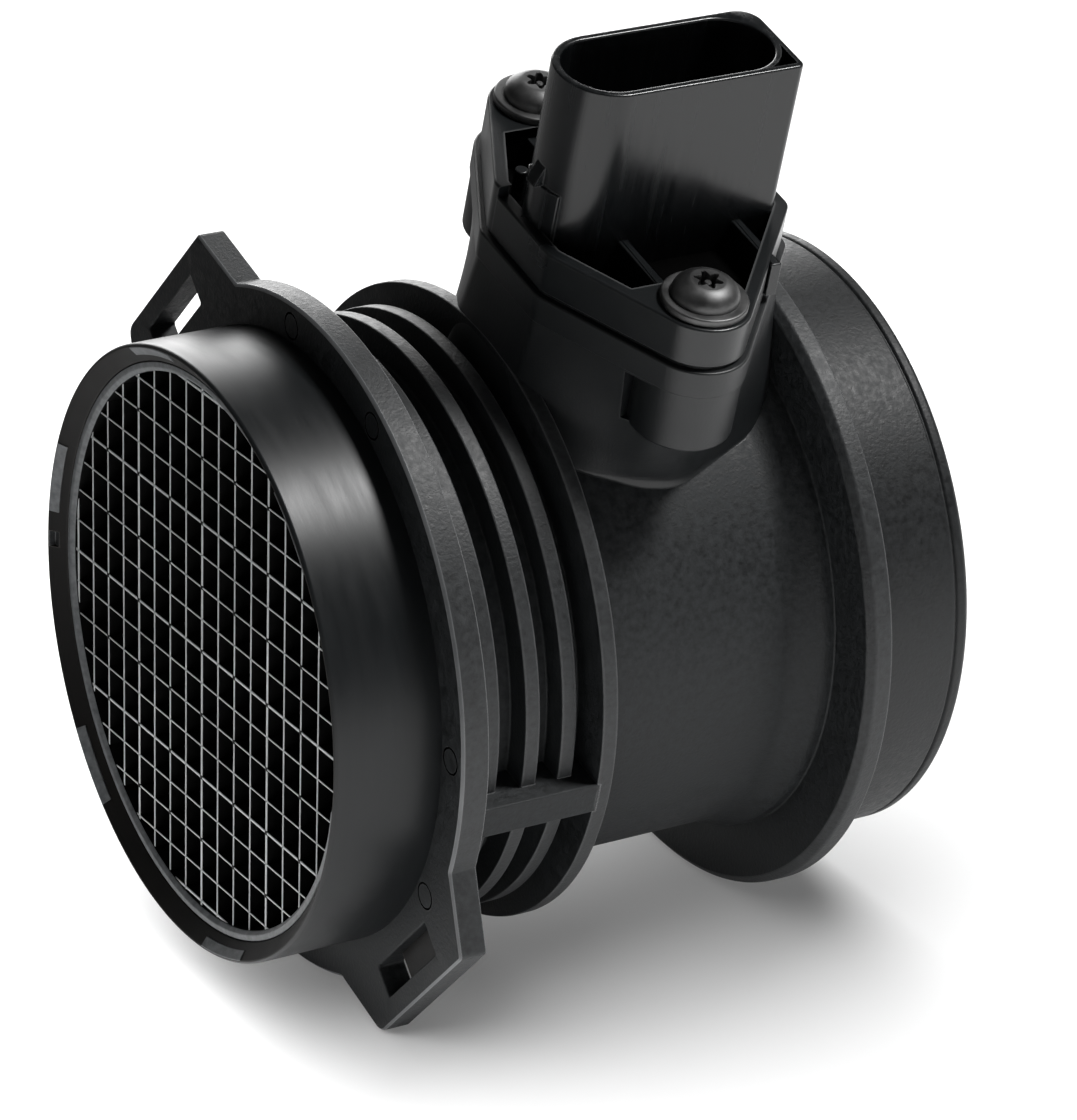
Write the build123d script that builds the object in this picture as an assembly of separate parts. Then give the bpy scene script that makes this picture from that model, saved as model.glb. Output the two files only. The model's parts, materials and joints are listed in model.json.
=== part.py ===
from build123d import *

import math
import os

# Mass airflow sensor for an engine intake of about 80 mm bore.
# X runs with the air from the inlet mouth to the outlet, Z points up the sensor tower,
# and the origin is the centre of the inlet mouth. All sizes are in millimetres.

# Inlet end
MOUTH_R = 44.0
COLLAR_WALL = 2.8
LIP_DEPTH = 2.0
LIP_EDGE = 0.4
SEAT_END_X = 13.6
SEAT_SHOULDER = 1.4
INLET_FLANGE_X = 16.4
INLET_FLANGE_T = 4.2
INLET_FLANGE_R = 49.6
FLANGE_BEVEL = 0.9

# Ears of the inlet flange, measured outwards from the axis and to each side
EAR_ANGLE = 60.0
EAR_REACH = 55.5
EAR_TIP_HALF = 15.5
EAR_ROOT_REACH = 42.0
EAR_ROOT_HALF = 21.8
EAR_SOFT_CORNER = 2.6
EAR_CRISP_CORNER = 0.8
EAR_TIP_WALL = 3.2
EAR_SLOT_WIDTH = 4.7
EAR_SLOT_LENGTH = 18.0

# Step, fins, stop disc and side webs
STEP_R = 43.0
STEP_LENGTH = 5.4
FIN_COUNT = 2
FIN_R = 43.2
FIN_T = 2.3
FIN_FIRST_X = 29.9
FIN_PITCH = 5.75
STOP_DISC_X = 40.5
STOP_DISC_T = 2.4
STOP_DISC_R = 46.0
WEB_T = 5.0

# Main tube and outlet end
TUBE_R = 39.1
TUBE_WALL = 2.5
THROAT_START_X = 34.0
THROAT_END_X = 80.0
FLARE_START_X = 76.0
FLARE_R = 41.0
FLARE_LENGTH = 3.6
REAR_FLANGE_X = 81.2
REAR_FLANGE_T = 3.7
REAR_FLANGE_R = 50.0
REAR_BEVEL = 1.1
OUTLET_R = 44.2
OUTLET_WALL = 2.9
OUTLET_BORE_X = 92.0
LENGTH = 101.8
BEAD_LENGTH = 2.0
BEAD_GROOVE = 0.5
END_ROUND = 0.7

# Flat round marks of the ejector pins on the inlet flange
MARK_R = 2.0
MARK_DEPTH = 0.25
MARK_CENTRE_R = 46.3
MARK_OFFSET_ANGLE = 15.0

# Inlet grid
GRID_GAP = 0.1
GRID_RING_WALL = 1.4
GRID_RECESS = 0.7
GRID_PITCH = 4.88
GRID_RIB = 0.55
GRID_MAIN_RIB = 0.75
GRID_MAIN_EVERY = 4
GRID_DEPTH = 9.0
GRID_ANGLE = 15.0
GRID_TAB_COUNT = 6
GRID_TAB_WIDTH = 16.0
GRID_TAB_FIRST = 30.0
GRID_TAB_FRONT = 0.5
GRID_TAB_BACK = 3.1
GRID_TAB_R = 43.1
GRID_TAB_PROUD = 0.2

# Small key notch in the mouth's lip
NOTCH_ANGLE = 104.0
NOTCH_W = 2.4
NOTCH_DEPTH = 1.2

# Tower
SCREW_X = 57.9
SCREW_Y = 23.8
END_R = 6.8
SHOULDER_R = 2.5
FLANGE_LEFT_X = 43.0
FLANGE_RIGHT_X = 82.0
FLANGE_LEFT_HALF = 9.5
FLANGE_RIGHT_HALF = 8.0
TOWER_TOP_Z = 58.5
PLATE_T = 4.2
PLATE_GROW = 1.1
WALL_GROW = 0.5
COLUMN_BOTTOM_Z = 45.0
OVAL_X = 61.5
OVAL_FOOT_Z = 30.0
OVAL_FOOT_X = 23.4
OVAL_FOOT_Y = 21.9
OVAL_END_R = 15.0
OVAL_END_Y = 4.0
OVAL_SIDE_R = 12.0
POCKET_DEPTH = 3.6
POCKET_LENGTH = 6.4
POCKET_CENTRE_X = 51.0
POCKET_CENTRE_Y = 22.6
POCKET_LEDGE = 0.6
POCKET_TURN = 65.5

# Plug-in sensor flange and connector
FLANGE_T = 6.5
FOOT_GROW = 0.5
FOOT_T = 1.8
RIM_W = 2.2
RECESS_DEPTH = 4.0
RECESS_HALF = 16.6
RIB_T = 1.6
RIB_DROP = 1.2
RIM_STEP_DROP = 1.2
RIM_STEP_BACK_Y = 6.0
RIM_STEP_FRONT_Y = -8.5
RIB_LEFT_X = 54.6
RIB_RIGHT_X = 72.7
PEG_X = 49.4
PEG_Y = 11.4
PEG_R = 1.2
SHROUD_LEFT_X = 44.2
SHROUD_RIGHT_X = 79.0
SHROUD_HALF = 7.6
SHROUD_TOP_Z = 89.0
SHROUD_WALL = 1.2
SHROUD_END_WALL = 1.6
SHROUD_BACK_CORNER = 3.5
SHROUD_KEY_CORNER = 1.2
SOCKET_FLOOR_Z = 64.0
KEY_POCKET_DEPTH = 8.0
KEY_POCKET_WALL = 0.9
PAD_HALF = 4.2
PAD_PROUD = 0.7
PAD_TOP_Z = 71.5
RAMP_HALF = 1.6
RAMP_PROUD = 2.0
RAMP_BOTTOM_Z = 71.2
RAMP_TOP_Z = 75.2

# Measuring finger
FINGER_LENGTH = 26.0
FINGER_WIDTH = 13.6
FINGER_CORNER = 3.2
FINGER_TIP_Z = -9.0
BORE_GAP = 0.4
SEAL_Z = 51.6
SEAL_GROOVE_W = 2.6
SEAL_GROOVE_DEPTH = 1.8
SEAL_SQUEEZE_GAP = 0.05

# Electronics bay, open to +Y
FIT = 0.05
BAY_LENGTH = 18.0
BAY_BOTTOM_Z = 14.0
BAY_TOP_Z = 46.0
BAY_FLOOR_Y = -2.0
COVER_LIP = 0.6
COVER_GAP = 0.12
ELECTRONICS_COVER_T = 1.6
CARRIER_T = 1.0
CARRIER_MARGIN = 0.5
BOARD_T = 0.64
BOARD_MARGIN = 1.3
BOARD_BOTTOM_Z = 23.0
BOARD_TOP_Z = 43.0

# Bypass channel, open to +Y under its cover
CHANNEL_Y = -0.3
CHANNEL_W = 3.8
CHANNEL_BOTTOM_Z = -5.5
CHANNEL_H = 6.0
CHANNEL_END_X = 68.0
RISER_START_X = 62.0
RISER_TOP_Z = 10.0
OUTLET_WINDOW_H = 3.6
OUTLET_WINDOW_INSET = 0.5
BYPASS_COVER_T = 2.0
BYPASS_WALL = 1.5

# Sensor chip and its holder
HOLDER_X = 57.0
HOLDER_W = 5.0
HOLDER_T = 1.2
HOLDER_Y = 1.0
HOLDER_BLOCK_W = 6.0
HOLDER_BLOCK_TOP_Z = 21.5
HOLDER_TIP_GAP = 0.9
CHIP_W = 3.0
CHIP_H = 3.6
CHIP_T = 0.45
CHIP_SINK = 0.35

# Connector pins and bond wires
PIN_COUNT = 5
PIN_PITCH = 4.0
PIN_W = 1.5
PIN_T = 0.8
PIN_TOP_Z = 82.0
PIN_TAIL = 2.4
PIN_POINT = 1.2
WIRE_R = 0.15
WIRE_BOW = 0.9
WIRE_PIN_Z = 44.6
WIRE_BOARD_Z = 41.7

# Parts on the board: x and z from the board's centre, then width, height, thickness
BOARD_PARTS = (
    (-1.5, 1.5, 8.0, 8.0, 1.3),
    (5.2, 4.0, 3.2, 2.5, 1.1),
    (5.2, 0.0, 3.2, 2.5, 1.1),
    (5.2, -4.0, 2.0, 1.25, 0.8),
    (1.5, -5.6, 2.0, 1.25, 0.8),
    (-2.5, -5.6, 2.0, 1.25, 0.8),
)

# Air temperature sensor in its recess, open to -Y
NICHE_X = 55.5
NICHE_W = 7.0
NICHE_BOTTOM_Z = 14.0
NICHE_TOP_Z = 26.0
NICHE_DEPTH = 3.9
BEAD_R = 1.2
BEAD_RISE = 3.0
LEAD_R = 0.25
LEAD_SPREAD = 0.5
LEAD_BURIED = 2.0

# Screws and threaded inserts
SCREW_R = 2.0
SCREW_LENGTH = 14.5
SCREW_HOLE_R = 2.4
SCREW_TIP = 0.5
WASHER_R = 6.1
WASHER_T = 1.1
HEAD_R = 4.9
HEAD_TOP_R = 3.1
HEAD_H = 2.6
LOBE_COUNT = 6
LOBE_CENTRE_R = 1.65
LOBE_R = 0.55
SOCKET_R = 1.65
SOCKET_DEPTH = 1.8
CENTRE_PIN_R = 0.75
INSERT_R = 3.1
INSERT_BORE_GAP = 0.05
INSERT_LENGTH = 8.2
INSERT_SINK = 0.2
INSERT_HOLE_DEPTH = 11.5

# Derived places
EPS = 1.0
SEAT_R = MOUTH_R - COLLAR_WALL
BORE_R = TUBE_R - TUBE_WALL
OUTLET_BORE_R = OUTLET_R - OUTLET_WALL
INLET_FLANGE_BACK = INLET_FLANGE_X + INLET_FLANGE_T
PLATE_BOTTOM_Z = TOWER_TOP_Z - PLATE_T
FLANGE_TOP_Z = TOWER_TOP_Z + FLANGE_T
RECESS_FLOOR_Z = FLANGE_TOP_Z - RECESS_DEPTH
GRID_R = SEAT_R - GRID_GAP
GRID_CLEAR_R = GRID_R - GRID_RING_WALL
FINGER_X = OVAL_X
FINGER_FRONT_X = FINGER_X - FINGER_LENGTH / 2
FINGER_FACE_Y = FINGER_WIDTH / 2
BAY_LEFT_X = FINGER_X - BAY_LENGTH / 2
BAY_COVER_Y = FINGER_FACE_Y - ELECTRONICS_COVER_T
BOARD_Y = BAY_FLOOR_Y + CARRIER_T + 2 * FIT
BOARD_FACE_Y = BOARD_Y + BOARD_T
CHANNEL_TOP_Z = CHANNEL_BOTTOM_Z + CHANNEL_H
CHANNEL_FACE_Y = CHANNEL_Y + CHANNEL_W
PIN_BOTTOM_Z = BAY_TOP_Z - PIN_TAIL
CENTRE_MIN = (Align.CENTER, Align.CENTER, Align.MIN)


def around_axis(angle):
    """Turn about X, from +Z towards +Y."""
    return Rot(-angle, 0, 0)


def turned(points, arc=360.0):
    """Solid of revolution about X from (x, radius) points."""
    return revolve(make_face(Plane.XZ * Polyline(*points, close=True)), Axis.X, arc)


def block(x0, x1, y0, y1, z0, z1):
    """Box from its lowest to its highest corner."""
    centre = Pos((x0 + x1) / 2, (y0 + y1) / 2, (z0 + z1) / 2)
    return centre * Box(x1 - x0, y1 - y0, z1 - z0)


def raised(sketch, z0, z1):
    """Prism of a sketch between two heights."""
    return extrude(Pos(0, 0, z0) * sketch, z1 - z0)


def hull_of(circles):
    """Convex outline round (x, y, radius) circles."""
    sketches = [Pos(x, y) * Circle(radius) for x, y, radius in circles]
    return make_hull([edge for sketch in sketches for edge in sketch.edges()])


def flange_outline(grow):
    """Six-sided outline with a round end about each screw."""
    left = FLANGE_LEFT_X + SHOULDER_R
    right = FLANGE_RIGHT_X - SHOULDER_R
    circles = []
    for side in (-1, 1):
        circles.append((left, side * (FLANGE_LEFT_HALF - SHOULDER_R), SHOULDER_R + grow))
        circles.append((right, side * (FLANGE_RIGHT_HALF - SHOULDER_R), SHOULDER_R + grow))
        circles.append((SCREW_X, side * SCREW_Y, END_R + grow))
    return hull_of(circles)


def screw_places():
    """Centres of the two screws."""
    return [(SCREW_X, side * SCREW_Y) for side in (-1, 1)]


def rounded_section(grow):
    """Cross-section of the measuring finger, made larger all round by grow."""
    section = RectangleRounded(FINGER_LENGTH + 2 * grow, FINGER_WIDTH + 2 * grow, FINGER_CORNER + grow)
    return Pos(FINGER_X, 0) * section


def tube_outside():
    """Outer form of revolution, from the mouth to the outlet bead."""
    front, back = INLET_FLANGE_X, INLET_FLANGE_BACK
    points = [(0, 0), (0, MOUTH_R - LIP_EDGE), (LIP_EDGE, MOUTH_R), (front, MOUTH_R)]
    points += [(front, INLET_FLANGE_R - FLANGE_BEVEL), (front + FLANGE_BEVEL, INLET_FLANGE_R)]
    points += [(back, INLET_FLANGE_R), (back, STEP_R)]
    points += [(back + STEP_LENGTH, STEP_R), (back + STEP_LENGTH, TUBE_R)]
    for index in range(FIN_COUNT):
        x = FIN_FIRST_X + index * FIN_PITCH
        points += [(x, TUBE_R), (x, FIN_R), (x + FIN_T, FIN_R), (x + FIN_T, TUBE_R)]
    disc_back = STOP_DISC_X + STOP_DISC_T
    points += [(STOP_DISC_X, TUBE_R), (STOP_DISC_X, STOP_DISC_R)]
    points += [(disc_back, STOP_DISC_R), (disc_back, TUBE_R)]
    points += [(FLARE_START_X, TUBE_R), (FLARE_START_X + FLARE_LENGTH, FLARE_R)]
    rear, rear_back = REAR_FLANGE_X, REAR_FLANGE_X + REAR_FLANGE_T
    points += [(rear, FLARE_R), (rear, REAR_FLANGE_R - REAR_BEVEL), (rear + REAR_BEVEL, REAR_FLANGE_R)]
    points += [(rear_back, REAR_FLANGE_R), (rear_back, OUTLET_R)]
    bead = LENGTH - BEAD_LENGTH
    points += [(bead - BEAD_GROOVE, OUTLET_R), (bead - BEAD_GROOVE / 2, OUTLET_R - BEAD_GROOVE)]
    points += [(bead, OUTLET_R), (LENGTH - END_ROUND, OUTLET_R)]
    points += [(LENGTH, OUTLET_R - END_ROUND), (LENGTH, 0)]
    return turned(points)


def flow_curve(x0, r0, x1, r1):
    """Smooth change of bore radius that starts and ends along the axis."""
    middle = (x0 + x1) / 2
    return Bezier((x0, r0), (middle, r0), (middle, r1), (x1, r1))


def air_passage():
    """Space inside the tube: lip, grid seat, throat and outlet bore."""
    shoulder = SEAT_R - SEAT_SHOULDER
    lip_r = MOUTH_R - LIP_EDGE
    end = LENGTH + EPS
    entry = Polyline((-EPS, 0), (-EPS, lip_r), (0, lip_r), (LIP_DEPTH, SEAT_R), (SEAT_END_X, SEAT_R),
                     (SEAT_END_X, shoulder))
    narrowing = flow_curve(SEAT_END_X, shoulder, THROAT_START_X, BORE_R)
    throat = Line((THROAT_START_X, BORE_R), (THROAT_END_X, BORE_R))
    widening = flow_curve(THROAT_END_X, BORE_R, OUTLET_BORE_X, OUTLET_BORE_R)
    leaving = Polyline((OUTLET_BORE_X, OUTLET_BORE_R), (end, OUTLET_BORE_R), (end, 0), (-EPS, 0))
    edges = entry.edges() + narrowing.edges() + throat.edges() + widening.edges() + leaving.edges()
    return revolve(make_face(Plane.XZ * Curve(edges)), Axis.X)


def ear(angle, soft_side):
    """One slotted ear of the inlet flange; soft_side is the side of its rounder corner."""
    plane = Plane(origin=(INLET_FLANGE_X, 0, 0), x_dir=(0, 0, 1), z_dir=(1, 0, 0))
    circles = []
    for side in (-1, 1):
        corner = EAR_SOFT_CORNER if side == soft_side else EAR_CRISP_CORNER
        slope = math.atan2(EAR_ROOT_HALF - EAR_TIP_HALF, EAR_REACH - EAR_ROOT_REACH)
        inset = corner * (1 / math.cos(slope) - math.tan(slope))
        circles.append((EAR_REACH - corner, side * (EAR_TIP_HALF - inset), corner))
        circles.append((EAR_ROOT_REACH, side * EAR_ROOT_HALF, EAR_CRISP_CORNER))
    slot_centre = EAR_REACH - EAR_TIP_WALL - EAR_SLOT_WIDTH / 2
    outline = hull_of(circles) - Pos(slot_centre, 0) * Rectangle(EAR_SLOT_WIDTH, EAR_SLOT_LENGTH)
    return around_axis(angle) * extrude(plane * outline, INLET_FLANGE_T)


def side_webs():
    """Webs that tie the inlet flange to the stop disc on both sides."""
    reach = turned([(INLET_FLANGE_X, 0), (INLET_FLANGE_X, STOP_DISC_R), (STOP_DISC_X + EPS, STOP_DISC_R),
                    (STOP_DISC_X + EPS, 0)])
    front, back = INLET_FLANGE_BACK - EPS, STOP_DISC_X + EPS
    slab = block(front, back, -STOP_DISC_R, STOP_DISC_R, -WEB_T / 2, WEB_T / 2)
    return reach & slab


def ejector_marks():
    """Shallow round recesses in the inlet flange's front face."""
    disc = Pos(INLET_FLANGE_X - EPS, 0, MARK_CENTRE_R) * Rot(0, 90, 0)
    disc = disc * Cylinder(MARK_R, MARK_DEPTH + EPS, align=CENTRE_MIN)
    turns = [quarter + side * MARK_OFFSET_ANGLE for quarter in (0, 90, 180, 270) for side in (-1, 1)]
    return [around_axis(turn) * disc for turn in turns]


def grid_tab_space(gap):
    """Spaces of the grid's snap tabs in the mouth's lip, larger all round by gap."""
    turn = math.degrees(gap / SEAT_R)
    start = GRID_TAB_FIRST + GRID_TAB_WIDTH / 2 + turn
    front, back = GRID_TAB_FRONT - gap, GRID_TAB_BACK + gap
    slope = (MOUTH_R - LIP_EDGE - SEAT_R) / LIP_DEPTH
    cone = SEAT_R + (LIP_DEPTH - front) * slope - GRID_TAB_PROUD
    inner = SEAT_R - GRID_GAP - GRID_RING_WALL / 2
    outer = GRID_TAB_R + gap
    profile = [(front, cone), (front, outer), (back, outer), (back, inner), (LIP_DEPTH, inner),
               (LIP_DEPTH, SEAT_R - GRID_TAB_PROUD)]
    tab = turned(profile, GRID_TAB_WIDTH + 2 * turn)
    return [around_axis(start + index * 360 / GRID_TAB_COUNT) * tab for index in range(GRID_TAB_COUNT)]


def mouth_notch():
    """Key notch through the edge of the mouth's lip."""
    notch = block(-EPS, NOTCH_DEPTH, -NOTCH_W / 2, NOTCH_W / 2, SEAT_R, MOUTH_R + EPS)
    return around_axis(NOTCH_ANGLE) * notch


def column_pockets():
    """Dark recesses between each screw column and the tower's slanted wall."""
    pockets = []
    for side in (-1, 1):
        window = Pos(POCKET_CENTRE_X, side * POCKET_CENTRE_Y) * Rot(0, 0, side * POCKET_TURN)
        window = window * Rectangle(POCKET_LENGTH, 2 * POCKET_DEPTH)
        column = Pos(SCREW_X, side * SCREW_Y) * Circle(END_R)
        pockets.append(raised(window - column, COLUMN_BOTTOM_Z + POCKET_LEDGE, PLATE_BOTTOM_Z))
    return pockets


def oval_foot():
    """Oval outline of the tower where it meets the tube, with as many edges as the flange."""
    end_x, side_y = OVAL_FOOT_X - OVAL_END_R, OVAL_FOOT_Y - OVAL_SIDE_R
    circles = []
    for side in (-1, 1):
        circles.append((OVAL_X - end_x, side * OVAL_END_Y, OVAL_END_R))
        circles.append((OVAL_X + end_x, side * OVAL_END_Y, OVAL_END_R))
        circles.append((OVAL_X, side * side_y, OVAL_SIDE_R))
    return hull_of(circles)


def tower_outside():
    """Walls from the oval foot to the six-sided head, screw columns, pockets and top plate."""
    foot = Pos(0, 0, OVAL_FOOT_Z) * oval_foot()
    head = Pos(0, 0, PLATE_BOTTOM_Z) * flange_outline(WALL_GROW)
    tower = loft([foot, head], ruled=True)
    for x, y in screw_places():
        tower += raised(Pos(x, y) * Circle(END_R + WALL_GROW), COLUMN_BOTTOM_Z, PLATE_BOTTOM_Z)
    for pocket in column_pockets():
        tower -= pocket
    return tower + raised(flange_outline(PLATE_GROW), PLATE_BOTTOM_Z, TOWER_TOP_Z)


def measuring_tube():
    """The one-piece housing moulding."""
    body = tube_outside() + side_webs() + tower_outside()
    body += ear(EAR_ANGLE, -1)
    body += ear(EAR_ANGLE + 180, 1)
    body -= air_passage()
    body -= raised(rounded_section(BORE_GAP), 0, TOWER_TOP_Z + EPS)
    hole = Cylinder(INSERT_R + FIT, INSERT_HOLE_DEPTH + EPS, align=CENTRE_MIN)
    for x, y in screw_places():
        body -= Pos(x, y, TOWER_TOP_Z - INSERT_HOLE_DEPTH) * hole
    for cut in ejector_marks() + grid_tab_space(GRID_GAP) + [mouth_notch()]:
        body -= cut
    return body


def grid_ribs(across):
    """Lengths and thicknesses of the ribs that run one way."""
    count = int(GRID_CLEAR_R / GRID_PITCH)
    ribs = []
    for index in range(-count, count + 1):
        thick = GRID_MAIN_RIB if index % GRID_MAIN_EVERY == 0 else GRID_RIB
        size = (thick, 2 * GRID_R) if across else (2 * GRID_R, thick)
        place = (index * GRID_PITCH, 0) if across else (0, index * GRID_PITCH)
        ribs.append(Pos(*place) * Rectangle(*size))
    return ribs


def flow_grid():
    """Square-celled flow straightener with its ring and snap tabs."""
    plane = Plane(origin=(LIP_DEPTH + GRID_RECESS, 0, 0), x_dir=(0, 0, 1), z_dir=(1, 0, 0))
    inside = Circle(GRID_CLEAR_R + GRID_RING_WALL / 2)
    mesh = (Sketch() + grid_ribs(True) + grid_ribs(False)) & inside
    cells = around_axis(GRID_ANGLE) * extrude(plane * mesh, GRID_DEPTH)
    front, back = LIP_DEPTH, SEAT_END_X - GRID_GAP
    ring = turned([(front, GRID_R - GRID_RING_WALL / 2), (front, GRID_R), (back, GRID_R),
                   (back, GRID_CLEAR_R), (front + GRID_RECESS, GRID_CLEAR_R)])
    grid = ring + cells
    for tab in grid_tab_space(0):
        grid += tab
    return grid


def shroud_outline(grow):
    """Connector shroud: one round end, one flat end with a keyed corner."""
    round_x = SHROUD_LEFT_X + SHROUD_HALF
    back, key = SHROUD_BACK_CORNER, SHROUD_KEY_CORNER
    circles = [(round_x, 0, SHROUD_HALF + grow),
               (SHROUD_RIGHT_X - back, SHROUD_HALF - back, back + grow),
               (SHROUD_RIGHT_X - key, key - SHROUD_HALF, key + grow)]
    return hull_of(circles)


def socket_outline(grow):
    """Stadium-shaped opening of the connector."""
    radius = SHROUD_HALF - SHROUD_WALL
    right = SHROUD_RIGHT_X - SHROUD_END_WALL - radius
    return hull_of([(SHROUD_LEFT_X + SHROUD_HALF, 0, radius + grow), (right, 0, radius + grow)])


def key_pocket():
    """Three-cornered pocket between the socket and the keyed corner."""
    right = SHROUD_RIGHT_X - SHROUD_END_WALL - SHROUD_HALF + SHROUD_WALL
    corner = Pos(right + SHROUD_HALF, -SHROUD_HALF) * Rectangle(2 * SHROUD_HALF, 2 * SHROUD_HALF)
    shape = (shroud_outline(-KEY_POCKET_WALL) & corner) - socket_outline(KEY_POCKET_WALL)
    return raised(shape, SHROUD_TOP_Z - KEY_POCKET_DEPTH, SHROUD_TOP_Z + EPS)


def lock_ramp():
    """Wedge on the shroud's round end that catches the plug."""
    inner, outer = SHROUD_LEFT_X + EPS, SHROUD_LEFT_X - RAMP_PROUD
    profile = Polyline((inner, RAMP_BOTTOM_Z), (outer, RAMP_BOTTOM_Z), (SHROUD_LEFT_X, RAMP_TOP_Z),
                       (inner, RAMP_TOP_Z), close=True)
    return extrude(make_face(Plane.XZ * profile), RAMP_HALF, both=True)


def flange_recess():
    """Recess round the shroud, inside the flange's raised rim."""
    area = flange_outline(-RIM_W) & Pos(OVAL_X, 0) * Rectangle(2 * OVAL_X, 2 * RECESS_HALF)
    area -= shroud_outline(0)
    for x in (RIB_LEFT_X, RIB_RIGHT_X):
        area -= Pos(x, 0) * Rectangle(RIB_T, 2 * RECESS_HALF)
    area -= Pos(PEG_X, PEG_Y) * Circle(PEG_R)
    return raised(area, RECESS_FLOOR_Z, FLANGE_TOP_Z + EPS)


def rib_trim():
    """Cut that lowers the ribs below the rim."""
    area = flange_outline(-RIM_W) & Pos(OVAL_X, 0) * Rectangle(2 * OVAL_X, 2 * RECESS_HALF)
    return raised(area - shroud_outline(0), FLANGE_TOP_Z - RIB_DROP, FLANGE_TOP_Z + EPS)


def rim_step():
    """Cut that lowers the rim along the flange's left side."""
    right = SHROUD_LEFT_X + SHROUD_HALF
    return block(0, right, RIM_STEP_FRONT_Y, RIM_STEP_BACK_Y, FLANGE_TOP_Z - RIM_STEP_DROP, FLANGE_TOP_Z + EPS)


def sensor_flange():
    """Flange with foot, recess and screw holes."""
    flange = raised(flange_outline(0), TOWER_TOP_Z, FLANGE_TOP_Z)
    flange += raised(flange_outline(FOOT_GROW), TOWER_TOP_Z, TOWER_TOP_Z + FOOT_T)
    flange -= flange_recess()
    flange -= rib_trim()
    flange -= rim_step()
    hole = Cylinder(SCREW_HOLE_R, FLANGE_T + 2 * EPS, align=CENTRE_MIN)
    for x, y in screw_places():
        flange -= Pos(x, y, TOWER_TOP_Z - EPS) * hole
    return flange


def connector():
    """Shroud with pad, ramp and socket."""
    shroud = raised(shroud_outline(0), RECESS_FLOOR_Z - EPS, SHROUD_TOP_Z)
    pad = Pos(SHROUD_LEFT_X + SHROUD_HALF, 0) * Circle(SHROUD_HALF + PAD_PROUD)
    pad &= Pos(SHROUD_LEFT_X, 0) * Rectangle(SHROUD_HALF, 2 * PAD_HALF)
    shroud += raised(pad, RECESS_FLOOR_Z - EPS, PAD_TOP_Z)
    shroud += lock_ramp()
    shroud -= raised(socket_outline(0), SOCKET_FLOOR_Z, SHROUD_TOP_Z + EPS)
    return shroud - key_pocket()


def pin_section(grow):
    """Cross-sections of all connector pins."""
    size = Rectangle(PIN_W + 2 * grow, PIN_T + 2 * grow)
    return [Pos(pin_x(index), 0) * size for index in range(PIN_COUNT)]


def pin_x(index):
    """Place of one connector pin along the flow."""
    return FINGER_X + (index - (PIN_COUNT - 1) / 2) * PIN_PITCH


def bay_spaces():
    """Electronics bay and the step that its cover sits in."""
    left, right = BAY_LEFT_X, BAY_LEFT_X + BAY_LENGTH
    outside = FINGER_FACE_Y + EPS
    lip = COVER_LIP
    bay = block(left, right, BAY_FLOOR_Y, outside, BAY_BOTTOM_Z, BAY_TOP_Z)
    step = block(left - lip, right + lip, BAY_COVER_Y, outside, BAY_BOTTOM_Z - lip, BAY_TOP_Z + lip)
    return [bay, step]


def channel_space(y0, y1, gap):
    """Bypass channel: straight run and riser, narrower all round by gap."""
    end, bottom = CHANNEL_END_X - gap, CHANNEL_BOTTOM_Z + gap
    run = block(BAY_LEFT_X + gap, end, y0, y1, bottom, CHANNEL_TOP_Z - gap)
    riser = block(RISER_START_X + gap, end, y0, y1, bottom, RISER_TOP_Z - gap)
    return run + riser


def bypass_step(gap, y0, y1):
    """Slab of the bypass cover, narrower all round by gap."""
    left, right = BAY_LEFT_X - COVER_LIP + gap, BAY_LEFT_X + BAY_LENGTH + COVER_LIP - gap
    bottom, top = CHANNEL_BOTTOM_Z - BYPASS_WALL + gap, RISER_TOP_Z + BYPASS_WALL - gap
    return block(left, right, y0, y1, bottom, top)


def channel_ends():
    """Inlet at the finger's front face and outlet window in its -Y face."""
    inlet = block(FINGER_FRONT_X - EPS, BAY_LEFT_X + EPS, CHANNEL_Y, CHANNEL_FACE_Y, CHANNEL_BOTTOM_Z,
                  CHANNEL_TOP_Z)
    inset = OUTLET_WINDOW_INSET
    window = block(RISER_START_X + inset, CHANNEL_END_X - inset, -FINGER_FACE_Y - EPS, CHANNEL_Y + EPS,
                   RISER_TOP_Z - OUTLET_WINDOW_H - inset, RISER_TOP_Z - inset)
    return [inlet, window]


def holder_slot():
    """Slot between the bay and the channel for the chip holder's tongue."""
    half = HOLDER_W / 2 + FIT
    return block(HOLDER_X - half, HOLDER_X + half, HOLDER_Y - FIT, HOLDER_Y + HOLDER_T + FIT,
                 CHANNEL_TOP_Z - EPS, BAY_BOTTOM_Z + EPS)


def niche_spaces():
    """Recess of the air temperature sensor and the holes of its leads."""
    niche = block(NICHE_X - NICHE_W / 2, NICHE_X + NICHE_W / 2, -FINGER_FACE_Y - EPS,
                  NICHE_DEPTH - FINGER_FACE_Y, NICHE_BOTTOM_Z, NICHE_TOP_Z)
    hole = Cylinder(LEAD_R + FIT, LEAD_BURIED + FIT + EPS, align=CENTRE_MIN)
    holes = [Pos(x, niche_y(), NICHE_TOP_Z - EPS) * hole for x in lead_places()]
    return [niche] + holes


def niche_y():
    """Depth at which the temperature sensor hangs in its recess."""
    return NICHE_DEPTH / 2 - FINGER_FACE_Y


def lead_places():
    """Places of the two leads along the flow."""
    return [NICHE_X - LEAD_SPREAD, NICHE_X + LEAD_SPREAD]


def seal_groove():
    """Groove round the finger's neck."""
    ring = rounded_section(EPS) - rounded_section(-SEAL_GROOVE_DEPTH)
    return raised(ring, SEAL_Z - SEAL_GROOVE_W / 2, SEAL_Z + SEAL_GROOVE_W / 2)


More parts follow.
